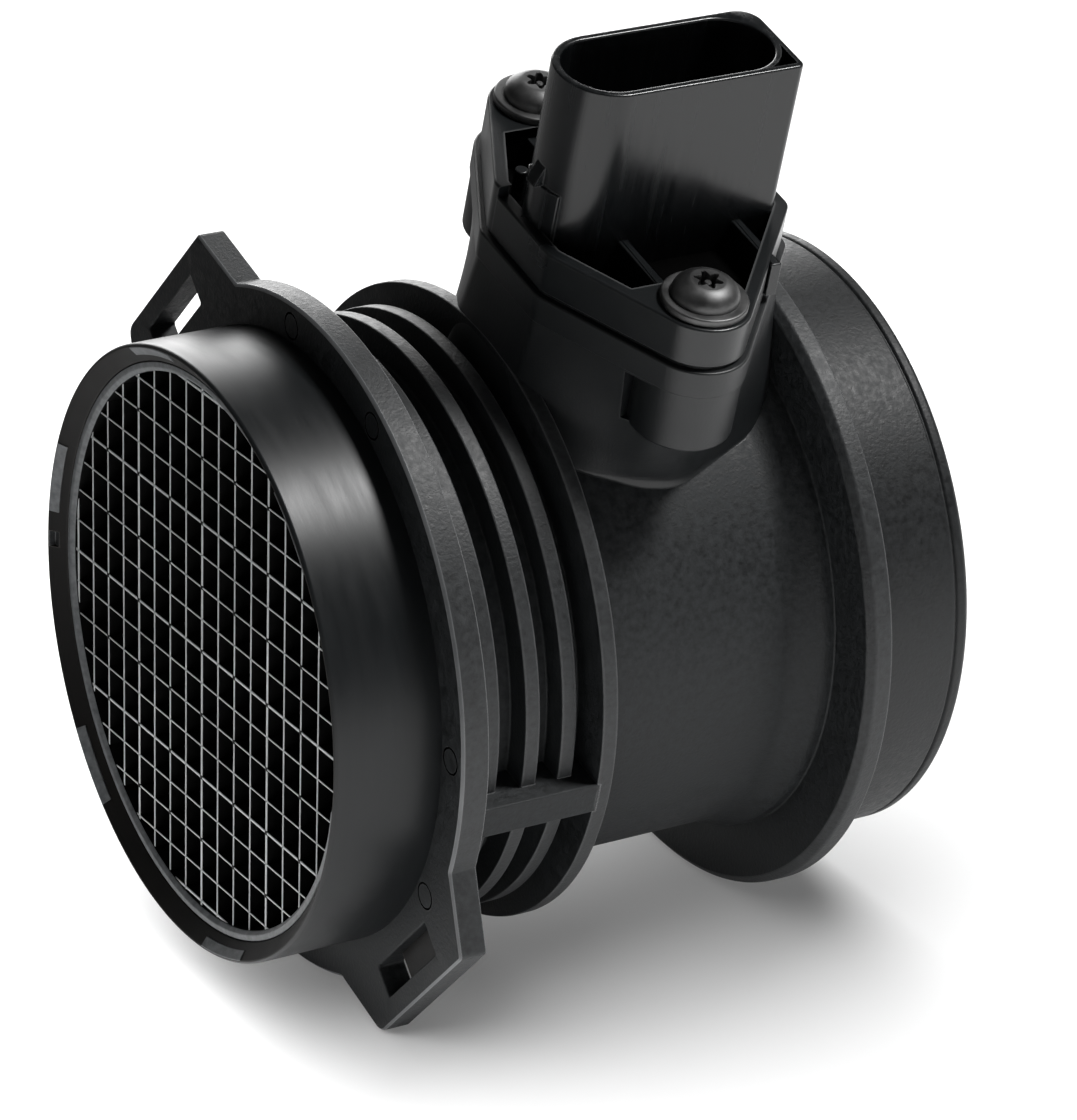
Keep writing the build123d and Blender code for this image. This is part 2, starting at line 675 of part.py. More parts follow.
def finger():
    """Measuring finger with its bay, channel, recess and groove."""
    body = raised(rounded_section(0), FINGER_TIP_Z, TOWER_TOP_Z + EPS)
    cuts = bay_spaces() + channel_ends() + niche_spaces() + [holder_slot(), seal_groove()]
    cuts.append(channel_space(CHANNEL_Y, FINGER_FACE_Y + EPS, 0))
    cuts.append(bypass_step(0, FINGER_FACE_Y - BYPASS_COVER_T, FINGER_FACE_Y + EPS))
    for cut in cuts:
        body -= cut
    return body


def sensor_body():
    """The plug-in sensor's one-piece moulding."""
    body = sensor_flange() + connector() + finger()
    for section in pin_section(FIT):
        body -= raised(section, BAY_TOP_Z - EPS, SOCKET_FLOOR_Z + EPS)
    return body


def contact_pin(index):
    """Flat connector pin with a tapered tip."""
    shank = raised(Pos(pin_x(index), 0) * Rectangle(PIN_W, PIN_T), PIN_BOTTOM_Z, PIN_TOP_Z - PIN_POINT)
    wide = Pos(pin_x(index), 0, PIN_TOP_Z - PIN_POINT) * Rectangle(PIN_W, PIN_T)
    tip = Pos(pin_x(index), 0, PIN_TOP_Z) * Rectangle(PIN_W / 2, PIN_T / 2)
    return shank + loft([wide, tip], ruled=True)


def seal_ring():
    """Rubber ring in the neck's groove."""
    radius = (SEAL_GROOVE_DEPTH + BORE_GAP) / 2 - SEAL_SQUEEZE_GAP
    inset = SEAL_GROOVE_DEPTH - (SEAL_GROOVE_DEPTH + BORE_GAP) / 2
    path = (Pos(0, 0, SEAL_Z) * rounded_section(-inset)).wires()[0]
    start = path.position_at(0)
    section = Plane(origin=start, z_dir=path.tangent_at(0)) * Circle(radius)
    return sweep(section, path)


def electronics_cover():
    """Lid of the electronics bay with a chamfered outer edge."""
    gap = COVER_GAP
    left, right = BAY_LEFT_X - COVER_LIP + gap, BAY_LEFT_X + BAY_LENGTH + COVER_LIP - gap
    bottom, top = BAY_BOTTOM_Z - COVER_LIP + gap, BAY_TOP_Z + COVER_LIP - gap
    lid = block(left, right, BAY_COVER_Y, FINGER_FACE_Y, bottom, top)
    return chamfer(lid.faces().sort_by(Axis.Y)[-1].edges(), COVER_LIP / 2)


def bypass_cover():
    """Lid of the bypass channel with a plug that closes the channel."""
    slab = bypass_step(COVER_GAP, FINGER_FACE_Y - BYPASS_COVER_T, FINGER_FACE_Y)
    slab = chamfer(slab.faces().sort_by(Axis.Y)[-1].edges(), COVER_LIP / 2)
    return slab + channel_space(CHANNEL_FACE_Y, FINGER_FACE_Y - EPS, COVER_GAP)


def carrier_plate():
    """Metal plate on the bay's floor."""
    edge = CARRIER_MARGIN
    return block(BAY_LEFT_X + edge, BAY_LEFT_X + BAY_LENGTH - edge, BAY_FLOOR_Y + FIT,
                 BAY_FLOOR_Y + FIT + CARRIER_T, BAY_BOTTOM_Z + edge, BAY_TOP_Z - edge)


def circuit_board():
    """Ceramic circuit on the carrier plate."""
    edge = BOARD_MARGIN
    return block(BAY_LEFT_X + edge, BAY_LEFT_X + BAY_LENGTH - edge, BOARD_Y, BOARD_FACE_Y,
                 BOARD_BOTTOM_Z, BOARD_TOP_Z)


def board_components():
    """Parts soldered on the circuit."""
    centre_z = (BOARD_BOTTOM_Z + BOARD_TOP_Z) / 2
    parts = []
    for x, z, width, height, thick in BOARD_PARTS:
        base = Pos(FINGER_X + x, BOARD_FACE_Y + FIT + thick / 2, centre_z + z)
        parts.append(base * Box(width, thick, height))
    return Compound(parts)


def bond_wires():
    """Curved wires from the pins to the circuit."""
    high = PIN_T / 2 + WIRE_R + FIT
    low = BOARD_FACE_Y + WIRE_R + FIT
    middle_z = (WIRE_PIN_Z + WIRE_BOARD_Z) / 2
    wires = []
    for index in range(PIN_COUNT):
        x = pin_x(index)
        path = ThreePointArc((x, high, WIRE_PIN_Z), (x, high + WIRE_BOW, middle_z), (x, low, WIRE_BOARD_Z))
        section = Plane(origin=path @ 0, z_dir=path % 0) * Circle(WIRE_R)
        wires.append(sweep(section, path))
    return Compound(wires)


def chip_holder():
    """Tongue that reaches from the carrier plate into the channel."""
    face = HOLDER_Y + HOLDER_T
    foot_y = BAY_FLOOR_Y + CARRIER_T + 2 * FIT
    half_block, half = HOLDER_BLOCK_W / 2, HOLDER_W / 2
    foot = block(HOLDER_X - half_block, HOLDER_X + half_block, foot_y, face, BAY_BOTTOM_Z + FIT,
                 HOLDER_BLOCK_TOP_Z)
    tongue = block(HOLDER_X - half, HOLDER_X + half, HOLDER_Y, face, CHANNEL_BOTTOM_Z + HOLDER_TIP_GAP,
                   BAY_BOTTOM_Z + EPS)
    half_w, half_h = CHIP_W / 2 + FIT, CHIP_H / 2 + FIT
    middle = chip_z()
    seat = block(HOLDER_X - half_w, HOLDER_X + half_w, face - CHIP_SINK, face + EPS, middle - half_h,
                 middle + half_h)
    return foot + tongue - seat


def chip_z():
    """Height of the sensor chip, at the channel's middle."""
    return CHANNEL_BOTTOM_Z + CHANNEL_H / 2


def sensor_chip():
    """Silicon chip in its seat on the tongue."""
    floor = HOLDER_Y + HOLDER_T - CHIP_SINK
    return block(HOLDER_X - CHIP_W / 2, HOLDER_X + CHIP_W / 2, floor, floor + CHIP_T,
                 chip_z() - CHIP_H / 2, chip_z() + CHIP_H / 2)


def temperature_bead():
    """Glass bead of the air temperature sensor."""
    return Pos(NICHE_X, niche_y(), NICHE_BOTTOM_Z + BEAD_RISE) * Sphere(BEAD_R)


def temperature_leads():
    """Two wires that carry the bead."""
    bead_top = NICHE_BOTTOM_Z + BEAD_RISE + math.sqrt(BEAD_R ** 2 - (LEAD_SPREAD - LEAD_R) ** 2) + FIT
    length = NICHE_TOP_Z + LEAD_BURIED - bead_top
    lead = Cylinder(LEAD_R, length, align=CENTRE_MIN)
    return Compound([Pos(x, niche_y(), bead_top) * lead for x in lead_places()])


def socket_recess():
    """Six-lobed recess with its centre pin left standing."""
    shape = Circle(SOCKET_R)
    for index in range(LOBE_COUNT):
        turn = math.radians(index * 360 / LOBE_COUNT)
        shape += Pos(LOBE_CENTRE_R * math.cos(turn), LOBE_CENTRE_R * math.sin(turn)) * Circle(LOBE_R)
    return shape - Circle(CENTRE_PIN_R)


def flange_screw():
    """Washer-head screw, its washer's underside at height 0."""
    washer = Cylinder(WASHER_R, WASHER_T, align=CENTRE_MIN)
    top = WASHER_T + HEAD_H
    crown = Bezier((HEAD_R, WASHER_T), (HEAD_R, WASHER_T + HEAD_H * 0.7), (HEAD_TOP_R, top))
    rest = Polyline((HEAD_TOP_R, top), (0, top), (0, 0), (HEAD_R, 0), (HEAD_R, WASHER_T))
    dome = revolve(make_face(Plane.XZ * Curve(crown.edges() + rest.edges())), Axis.Z)
    end = SCREW_TIP
    height = SCREW_LENGTH - end + EPS / 2
    shank = Pos(0, 0, end - SCREW_LENGTH) * Cylinder(SCREW_R, height, align=CENTRE_MIN)
    tip = Pos(0, 0, -SCREW_LENGTH) * Cone(SCREW_R - end, SCREW_R, end, align=CENTRE_MIN)
    recess = extrude(Pos(0, 0, top - SOCKET_DEPTH) * socket_recess(), SOCKET_DEPTH + EPS)
    return washer + dome + shank + tip - recess


def flange_screws():
    """Both screws of the plug-in sensor."""
    return Compound([Pos(x, y, FLANGE_TOP_Z) * flange_screw() for x, y in screw_places()])


def threaded_inserts():
    """Brass inserts in the screw columns."""
    sleeve = Cylinder(INSERT_R, INSERT_LENGTH, align=CENTRE_MIN)
    sleeve -= Cylinder(SCREW_R + INSERT_BORE_GAP, INSERT_LENGTH, align=CENTRE_MIN)
    bottom = TOWER_TOP_Z - INSERT_SINK - INSERT_LENGTH
    return Compound([Pos(x, y, bottom) * sleeve for x, y in screw_places()])


def all_nodes():
    """Every piece under its name."""
    nodes = {
        "measuring_tube": measuring_tube(),
        "flow_grid": flow_grid(),
        "sensor_body": sensor_body(),
        "flange_screws": flange_screws(),
        "threaded_inserts": threaded_inserts(),
        "seal_ring": seal_ring(),
        "electronics_cover": electronics_cover(),
        "bypass_cover": bypass_cover(),
        "carrier_plate": carrier_plate(),
        "circuit_board": circuit_board(),
        "board_components": board_components(),
        "bond_wires": bond_wires(),
        "chip_holder": chip_holder(),
        "sensor_chip": sensor_chip(),
        "temperature_bead": temperature_bead(),
        "temperature_leads": temperature_leads(),
    }
    for index in range(PIN_COUNT):
        nodes[f"contact_pin_{index + 1}"] = contact_pin(index)
    return nodes


def write_parts():
    """Write one file for each piece."""
    os.makedirs("parts", exist_ok=True)
    for name, shape in all_nodes().items():
        export_step(shape, f"parts/{name}.step")



write_parts()
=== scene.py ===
"""Final look of the mass airflow sensor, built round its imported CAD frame.

Every shape is worked out in millimetres as whole numpy arrays and written to its mesh in metres.
X runs with the air from the inlet mouth, Z points up the sensor tower.
"""

from __future__ import annotations

import json
import logging
import math
from dataclasses import dataclass, field
from enum import Enum, IntEnum

import bmesh
import bpy
import numpy as np
from mathutils import Matrix, Vector
from mathutils.geometry import delaunay_2d_cdt

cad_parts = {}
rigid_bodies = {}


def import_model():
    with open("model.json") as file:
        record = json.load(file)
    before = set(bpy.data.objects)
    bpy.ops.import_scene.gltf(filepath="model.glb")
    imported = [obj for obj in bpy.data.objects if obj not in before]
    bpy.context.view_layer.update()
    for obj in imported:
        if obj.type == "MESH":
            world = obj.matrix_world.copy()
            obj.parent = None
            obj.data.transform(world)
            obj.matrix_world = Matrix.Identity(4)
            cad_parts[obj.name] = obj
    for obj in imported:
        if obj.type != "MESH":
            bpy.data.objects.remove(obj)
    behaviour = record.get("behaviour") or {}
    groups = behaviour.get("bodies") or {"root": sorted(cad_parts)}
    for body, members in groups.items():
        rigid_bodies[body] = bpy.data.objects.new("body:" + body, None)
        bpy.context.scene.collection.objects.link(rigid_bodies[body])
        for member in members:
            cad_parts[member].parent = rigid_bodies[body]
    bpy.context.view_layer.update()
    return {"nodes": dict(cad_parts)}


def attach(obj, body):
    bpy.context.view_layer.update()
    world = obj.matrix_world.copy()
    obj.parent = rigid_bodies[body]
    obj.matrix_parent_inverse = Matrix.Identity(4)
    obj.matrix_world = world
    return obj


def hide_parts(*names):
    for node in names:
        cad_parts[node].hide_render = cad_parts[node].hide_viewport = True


LOG = logging.getLogger("airflow_sensor")
MM = 0.001
TURN = 2 * math.pi
Array = np.ndarray


# ---------------------------------------------------------------- shapes worked out with numpy


def unit(angles: Array) -> Array:
    """Unit vectors (cos, sin) at the given angles."""
    return np.stack([np.cos(angles), np.sin(angles)], -1)


def rounded(corners: Array, radii: float | Array, steps: int = 3, closed: bool = True) -> Array:
    """Round the corners of a polyline.

    Each corner becomes a quadratic curve between two points that lie one radius, or 0.45 of the
    shorter neighbour at most, before and after it: (1-t)^2 A + 2 t (1-t) C + t^2 B.

    Args:
        corners: The polyline's points, one row each.
        radii: One radius for all corners or one for each.
        steps: Number of short edges that replace a corner.
        closed: Whether the last point joins the first.

    Returns:
        The rounded polyline.
    """
    corners = np.asarray(corners, float)
    radii = np.broadcast_to(np.asarray(radii, float), (len(corners),)).copy()
    before, after = np.roll(corners, 1, 0) - corners, np.roll(corners, -1, 0) - corners
    long_before, long_after = np.linalg.norm(before, axis=1), np.linalg.norm(after, axis=1)
    if not closed:
        radii[[0, -1]] = 0
    reach = np.minimum(radii, 0.45 * np.minimum(long_before, long_after))[:, None]
    first = corners + before / long_before[:, None] * reach
    last = corners + after / long_after[:, None] * reach
    t = np.linspace(0, 1, steps + 1)[None, :, None]
    curves = (1 - t) ** 2 * first[:, None] + 2 * t * (1 - t) * corners[:, None] + t ** 2 * last[:, None]
    keep = np.broadcast_to(radii[:, None] > 0, (len(corners), steps + 1)).copy()
    keep[:, 0] = True
    return curves[keep]


def eased(x0: float, r0: float, x1: float, r1: float, count: int = 12) -> Array:
    """Points of a smooth change from (x0, r0) to (x1, r1): r follows 3t^2 - 2t^3."""
    t = np.linspace(0, 1, count)
    return np.stack([x0 + (x1 - x0) * t, r0 + (r1 - r0) * (3 * t ** 2 - 2 * t ** 3)], -1)


def resampled(loop: Array, count: int) -> Array:
    """Closed loop with its points spaced evenly along its length."""
    closed = np.vstack([loop, loop[:1]])
    length = np.r_[0, np.cumsum(np.linalg.norm(np.diff(closed, axis=0), axis=1))]
    places = np.linspace(0, length[-1], count, endpoint=False)
    return np.stack([np.interp(places, length, closed[:, k]) for k in (0, 1)], -1)


def loop_normals(loop: Array) -> Array:
    """Outward normals of a closed loop that runs anticlockwise, from its central differences."""
    along = np.roll(loop, -1, 0) - np.roll(loop, 1, 0)
    normals = np.stack([along[:, 1], -along[:, 0]], -1)
    return normals / np.maximum(np.linalg.norm(normals, axis=1), 1e-9)[:, None]


def polar_reach(loop: Array, centre: tuple[float, float], angles: Array) -> Array:
    """Distance from a centre to a loop round it, read at the given angles."""
    dense = resampled(loop, 6000) - centre
    turn = np.arctan2(dense[:, 1], dense[:, 0]) % TURN
    order = np.argsort(turn)
    return np.interp(angles % TURN, turn[order], np.linalg.norm(dense, axis=1)[order], period=TURN)


@dataclass(frozen=True)
class Hull:
    """Convex outline round circles of (x, y, radius)."""

    circles: tuple[tuple[float, float, float], ...]

    def ring(self, grow: float = 0.0, count: int = 240) -> Array:
        """Outline made larger all round by grow.

        The point that faces a direction n lies on the circle whose centre c and radius r give the
        largest c.n + r, at c + (r + grow) n, so every ring has the same points one by one.
        """
        places = np.array(self.circles)
        n = unit(np.arange(count) / count * TURN)
        support = n @ places[:, :2].T + places[:, 2]
        nearest = places[np.argmax(support, 1)]
        return nearest[:, :2] + (nearest[:, 2:] + grow) * n


def edge_steps(radius: float, steps: int = 3) -> tuple[Array, Array]:
    """Inset and height of a rounded edge: radius (1 - cos a) inwards while rising radius sin a."""
    a = np.linspace(0, math.pi / 2, steps + 1)
    return radius * (1 - np.cos(a)), radius * np.sin(a)


class Shell:
    """Points and faces of one piece, gathered surface by surface."""

    def __init__(self) -> None:
        """Start with nothing in it."""
        self.points: list[Array] = []
        self.faces: list[list[int]] = []
        self.finishes: list[Array] = []
        self.count = 0

    def add(self, points: Array, faces: list[list[int]], finish: int = 0) -> None:
        """Add a surface whose faces count its own points from zero."""
        self.points.append(np.asarray(points, float).reshape(-1, 3))
        self.faces += [[index + self.count for index in face] for face in faces]
        self.finishes.append(np.full(len(faces), finish))
        self.count += len(self.points[-1])

    def grid(self, rows: Array, wrap: bool = False, caps: bool = True, finish: int = 0) -> None:
        """Add closed rings as a skin.

        Args:
            rows: Points as (ring, place on the ring, xyz); each ring is closed.
            wrap: Whether the last ring joins the first, as on a ring with a bore.
            caps: Whether the first and last rings are closed with a flat face.
            finish: Material slot of the surface.
        """
        lines, count = rows.shape[:2]
        ids = np.arange(lines * count).reshape(lines, count)
        upper = np.roll(ids, -1, 0) if wrap else ids[1:]
        lower = ids if wrap else ids[:-1]
        quads = np.stack([lower, np.roll(lower, -1, 1), np.roll(upper, -1, 1), upper], -1).reshape(-1, 4)
        faces = quads.tolist()
        if caps and not wrap:
            faces += [ids[0, ::-1].tolist(), ids[-1].tolist()]
        self.add(rows, faces, finish)

    def sheet(self, loops: list[Array], place: "Placer", height: float, finish: int = 0) -> None:
        """Add the flat area inside the first loop and outside the others."""
        flat = np.vstack(loops)
        starts = np.cumsum([0] + [len(loop) for loop in loops])
        rings = [list(range(a, b)) for a, b in zip(starts[:-1], starts[1:])]
        corners, _, faces, *_ = delaunay_2d_cdt([Vector(p) for p in flat], [], rings, 2, 1e-7)
        flat = np.array([tuple(c) for c in corners])
        self.add(place(flat, np.full(len(flat), height)), [list(face) for face in faces], finish)

    def piece(self, name: str, finishes: list[bpy.types.Material], sharp: float = 36.0) -> bpy.types.Object:
        """Make the gathered surfaces one object.

        Args:
            name: Name of the piece.
            finishes: Its materials, in the order of the finish numbers.
            sharp: Edges that turn by more than this many degrees stay sharp.

        Returns:
            The object, closed and with its faces outward.
        """
        mesh = bpy.data.meshes.new(name)
        mesh.from_pydata(np.vstack(self.points) * MM, [], self.faces)
        mesh.polygons.foreach_set("material_index", np.concatenate(self.finishes).astype(np.int32))
        for finish in finishes:
            mesh.materials.append(finish)
        work = bmesh.new()
        work.from_mesh(mesh)
        bmesh.ops.remove_doubles(work, verts=work.verts, dist=2e-6)
        bmesh.ops.recalc_face_normals(work, faces=work.faces)
        work.to_mesh(mesh)
        work.free()
        obj = bpy.data.objects.new(name, mesh)
        bpy.context.scene.collection.objects.link(obj)
        soften(obj, sharp)
        return obj

    def tool(self, name: str) -> bpy.types.Object:
        """Make the gathered surfaces a cutting tool, which is a piece without finish or modifiers."""
        obj = self.piece(name, [])
        obj.modifiers.clear()
        return obj


def soften(obj: bpy.types.Object, sharp: float = 36.0) -> None:
    """Shade smooth up to an angle and let large faces rule the shading near edges."""
    obj.data.shade_smooth()
    obj.data.set_sharp_from_angle(angle=math.radians(sharp))
    weighted = obj.modifiers.new("even_shading", "WEIGHTED_NORMAL")
    weighted.keep_sharp = True
    weighted.weight = 60


class Placer:
    """Turns plan points and heights into places in the frame."""

    def __init__(self, axis: str = "z", turn: float = 0.0) -> None:
        """Choose the axis that heights run along, and a turn about it in degrees."""
        self.axis, self.turn = axis, math.radians(turn)

    def __call__(self, plan: Array, heights: Array) -> Array:
        """Place plan points: for axis x the plan is (towards +Z, towards +Y)."""
        plan = np.asarray(plan, float)
        u, v = plan[..., 0], plan[..., 1]
        cos, sin = math.cos(self.turn), math.sin(self.turn)
        u, v = u * cos - v * sin, u * sin + v * cos
        heights = np.broadcast_to(heights, u.shape)
        if self.axis == "x":
            return np.stack([heights, v, u], -1)
        if self.axis == "y":
            return np.stack([u, heights, v], -1)
        return np.stack([u, v, heights], -1)


UPRIGHT = Placer("z")


def lathe(profile: Array, angles: Array) -> Array:
    """Rings of a profile of (x, radius) turned about X: (x, r sin a, r cos a)."""
    x, r = profile[:, 0, None], profile[:, 1, None]
    x = np.broadcast_to(x, (len(profile), len(angles)))
    return np.stack([x, r * np.sin(angles), r * np.cos(angles)], -1)


def raised_hull(hull: Hull, low: float, high: float, foot_edge: float, top_edge: float,
                grow: float = 0.0, count: int = 240) -> tuple[Array, Array]:
    """Offsets and heights of an upright wall with rounded edges below and above.

    Args:
        hull: Plan outline.
        low: Lower height.
        high: Upper height.
        foot_edge: Radius of the lower edge.
        top_edge: Radius of the upper edge.
        grow: Offset of the wall from the outline.
        count: Points round the outline.

    Returns:
        The plan rings and their heights.
    """
    inset_a, rise_a = edge_steps(foot_edge)
    inset_b, rise_b = edge_steps(top_edge)
    offsets = np.r_[grow - inset_a[::-1], grow - inset_b]
    heights = np.r_[low + foot_edge - rise_a[::-1], high - top_edge + rise_b]
    return np.stack([hull.ring(o, count) for o in offsets]), heights


def stacked(rings: Array, heights: Array, place: Placer) -> Array:
    """Rings placed at their heights."""
    return place(rings, np.asarray(heights)[:, None])


def cut(piece: bpy.types.Object, tools: list[bpy.types.Object]) -> None:
    """Take closed tool shapes out of a piece, and remove the tools."""
    piece.modifiers.clear()
    for tool in tools:
        modifier = piece.modifiers.new("cut", "BOOLEAN")
        modifier.operation, modifier.solver, modifier.object = "DIFFERENCE", "EXACT", tool
    bpy.context.view_layer.update()
    depsgraph = bpy.context.evaluated_depsgraph_get()
    mesh = bpy.data.meshes.new_from_object(piece.evaluated_get(depsgraph))
    piece.modifiers.clear()
    old, piece.data = piece.data, mesh
    mesh.name = old.name
    bpy.data.meshes.remove(old)
    for tool in tools:
        bpy.data.objects.remove(tool)


# ---------------------------------------------------------------- finishes


class Grain(Enum):
    """How the fine lines or specks of a finish run."""

    SPECKS = (1.0, 1.0, 1.0)
    ROUND_THE_AXIS = (3.5, 0.6, 0.6)
    UP_THE_TOWER = (3.0, 3.0, 0.12)


def new_group(name: str, inputs: dict[str, float], outputs: dict[str, str]) -> bpy.types.NodeTree:
    """Empty shader group with number inputs and typed outputs."""
    group = bpy.data.node_groups.new(name, "ShaderNodeTree")
    for label, value in inputs.items():
        socket = group.interface.new_socket(label, in_out="INPUT", socket_type="NodeSocketFloat")
        socket.default_value = value
    for label, kind in outputs.items():
        group.interface.new_socket(label, in_out="OUTPUT", socket_type=kind)
    return group


class Nodes:
    """Short hand for wiring one node tree."""

    def __init__(self, tree: bpy.types.NodeTree) -> None:
        """Work on a tree."""
        self.tree = tree

    def add(self, kind: str, values: dict | None = None, **options: object) -> bpy.types.Node:
        """Add a node, set its options, and set or link its inputs."""
        node = self.tree.nodes.new(kind)
        for key, option in options.items():
            setattr(node, key, option)
        for key, value in (values or {}).items():
            if isinstance(value, bpy.types.NodeSocket):
                self.tree.links.new(value, node.inputs[key])
            else:
                node.inputs[key].default_value = value
        return node

    def math(self, operation: str, *values: object) -> bpy.types.NodeSocket:
        """Result of one sum."""
        return self.add("ShaderNodeMath", dict(enumerate(values)), operation=operation).outputs[0]


def stretched_coordinates(nodes: Nodes, grain: Grain) -> bpy.types.NodeSocket:
    """Object coordinates stretched the way that the grain runs."""
    place = nodes.add("ShaderNodeTexCoord")
    mapping = nodes.add("ShaderNodeMapping", {0: place.outputs["Object"], 3: grain.value})
    return mapping.outputs[0]


def build_grain_group(grain: Grain) -> bpy.types.NodeTree:
    """Group that gives the height of fine moulded grain and a slow patchy mask.

    Args:
        grain: The way that the grain runs.

    Returns:
        The group, with a Height and a Patches output.
    """
    group = new_group("grain_" + grain.name.lower(), {"Scale": 2500.0, "Patch Scale": 60.0},
                      {"Height": "NodeSocketFloat", "Patches": "NodeSocketFloat"})
    nodes = Nodes(group)
    given = nodes.add("NodeGroupInput")
    where = stretched_coordinates(nodes, grain)
    fine = nodes.add("ShaderNodeTexNoise", {"Vector": where, "Scale": given.outputs["Scale"], "Detail": 3.0,
                                            "Roughness": 0.6})
    patch = nodes.add("ShaderNodeTexNoise", {"Vector": where, "Scale": given.outputs["Patch Scale"],
                                             "Detail": 4.0, "Roughness": 0.55})
    out = nodes.add("NodeGroupOutput")
    group.links.new(fine.outputs[0], out.inputs["Height"])
    group.links.new(patch.outputs[0], out.inputs["Patches"])
    return group


def build_edge_group() -> bpy.types.NodeTree:
    """Group that masks edges for a painted highlight: 1 - n.m, where m is the normal softened over Width."""
    group = new_group("painted_edge_highlight", {"Width": 0.0003, "Strength": 7.0}, {"Mask": "NodeSocketFloat"})
    nodes = Nodes(group)
    given = nodes.add("NodeGroupInput")
    soft = nodes.add("ShaderNodeBevel", {"Radius": given.outputs["Width"]}, samples=4)
    plain = nodes.add("ShaderNodeNewGeometry")
    dot = nodes.add("ShaderNodeVectorMath", {0: soft.outputs[0], 1: plain.outputs["Normal"]},
                    operation="DOT_PRODUCT").outputs["Value"]
    away = nodes.math("SUBTRACT", 1.0, dot)
    mask = nodes.math("MULTIPLY", away, given.outputs["Strength"])
    mask = nodes.add("ShaderNodeClamp", {0: mask}).outputs[0]
    out = nodes.add("NodeGroupOutput")
    group.links.new(mask, out.inputs["Mask"])
    return group


@dataclass(frozen=True)
class Moulding:
    """Black moulded plastic with grain, patchy gloss and a painted highlight along its edges."""

    name: str
    colour: tuple[float, float, float] = (0.0085, 0.0102, 0.0112)
    light: tuple[float, float, float] = (0.0125, 0.0145, 0.0157)
    roughness: tuple[float, float] = (0.42, 0.58)
    grain: Grain = Grain.SPECKS
    scale: float = 2600.0
    patch_scale: float = 70.0
    depth: float = 0.25
    distance: float = 0.00008
    edge: float = 0.6
    edge_highlight_colour: tuple[float, float, float] = (0.075, 0.077, 0.078)
    specular: float = 0.5
    coat: float = 0.0

    def build(self, groups: dict[str, bpy.types.NodeTree]) -> bpy.types.Material:
        """Make the material from the shared groups."""
        material = bpy.data.materials.new(self.name)
        material.use_nodes = True
        nodes = Nodes(material.node_tree)
        shader = material.node_tree.nodes["Principled BSDF"]
        shader.inputs["Specular IOR Level"].default_value = self.specular
        shader.inputs["Coat Weight"].default_value = self.coat
        shader.inputs["Coat Roughness"].default_value = 0.3
        grain = nodes.add("ShaderNodeGroup", node_tree=groups[self.grain.name])
        grain.inputs["Scale"].default_value = self.scale
        grain.inputs["Patch Scale"].default_value = self.patch_scale
        edge_glint = nodes.add("ShaderNodeGroup", node_tree=groups["edges"])
        patch = nodes.add("ShaderNodeMapRange", {0: grain.outputs["Patches"], 1: 0.3, 2: 0.7})
        tone = nodes.add("ShaderNodeMix", {0: patch.outputs[0], 6: (*self.colour, 1), 7: (*self.light, 1)},
                         data_type="RGBA")
        # Lighter colour along the rounded edges: a painted highlight.
        amount = nodes.math("MULTIPLY", edge_glint.outputs["Mask"], self.edge)
        colour = nodes.add("ShaderNodeMix", {0: amount, 6: tone.outputs[2], 7: (*self.edge_highlight_colour, 1)},
                           data_type="RGBA")
        gloss = nodes.add("ShaderNodeMapRange", {0: grain.outputs["Patches"], 1: 0.3, 2: 0.7,
                                                 3: self.roughness[0], 4: self.roughness[1]})
        bump = nodes.add("ShaderNodeBump", {"Height": grain.outputs["Height"], "Strength": self.depth,
                                            "Distance": self.distance})
        links = material.node_tree.links
        links.new(colour.outputs[2], shader.inputs["Base Color"])
        links.new(gloss.outputs[0], shader.inputs["Roughness"])
        links.new(bump.outputs[0], shader.inputs["Normal"])
        return material


@dataclass(frozen=True)
class Metal:
    """Plated or bare metal with fine marks."""

    name: str
    colour: tuple[float, float, float]
    light: tuple[float, float, float]
    roughness: tuple[float, float] = (0.25, 0.4)
    scale: float = 1500.0
    patch_scale: float = 300.0
    depth: float = 0.15
    metallic: float = 1.0

    def build(self, groups: dict[str, bpy.types.NodeTree]) -> bpy.types.Material:
        """Make the material from the shared groups."""
        # Brighter edge colour: a painted highlight along the metal's edges.
        edge_glint_colour = tuple(min(1, c * 1.6) for c in self.light)
        base = Moulding(self.name, self.colour, self.light, self.roughness, Grain.SPECKS, self.scale,
                        self.patch_scale, self.depth, distance=0.00004, edge=0.35, edge_highlight_colour=edge_glint_colour)
        material = base.build(groups)
        material.node_tree.nodes["Principled BSDF"].inputs["Metallic"].default_value = self.metallic
        return material


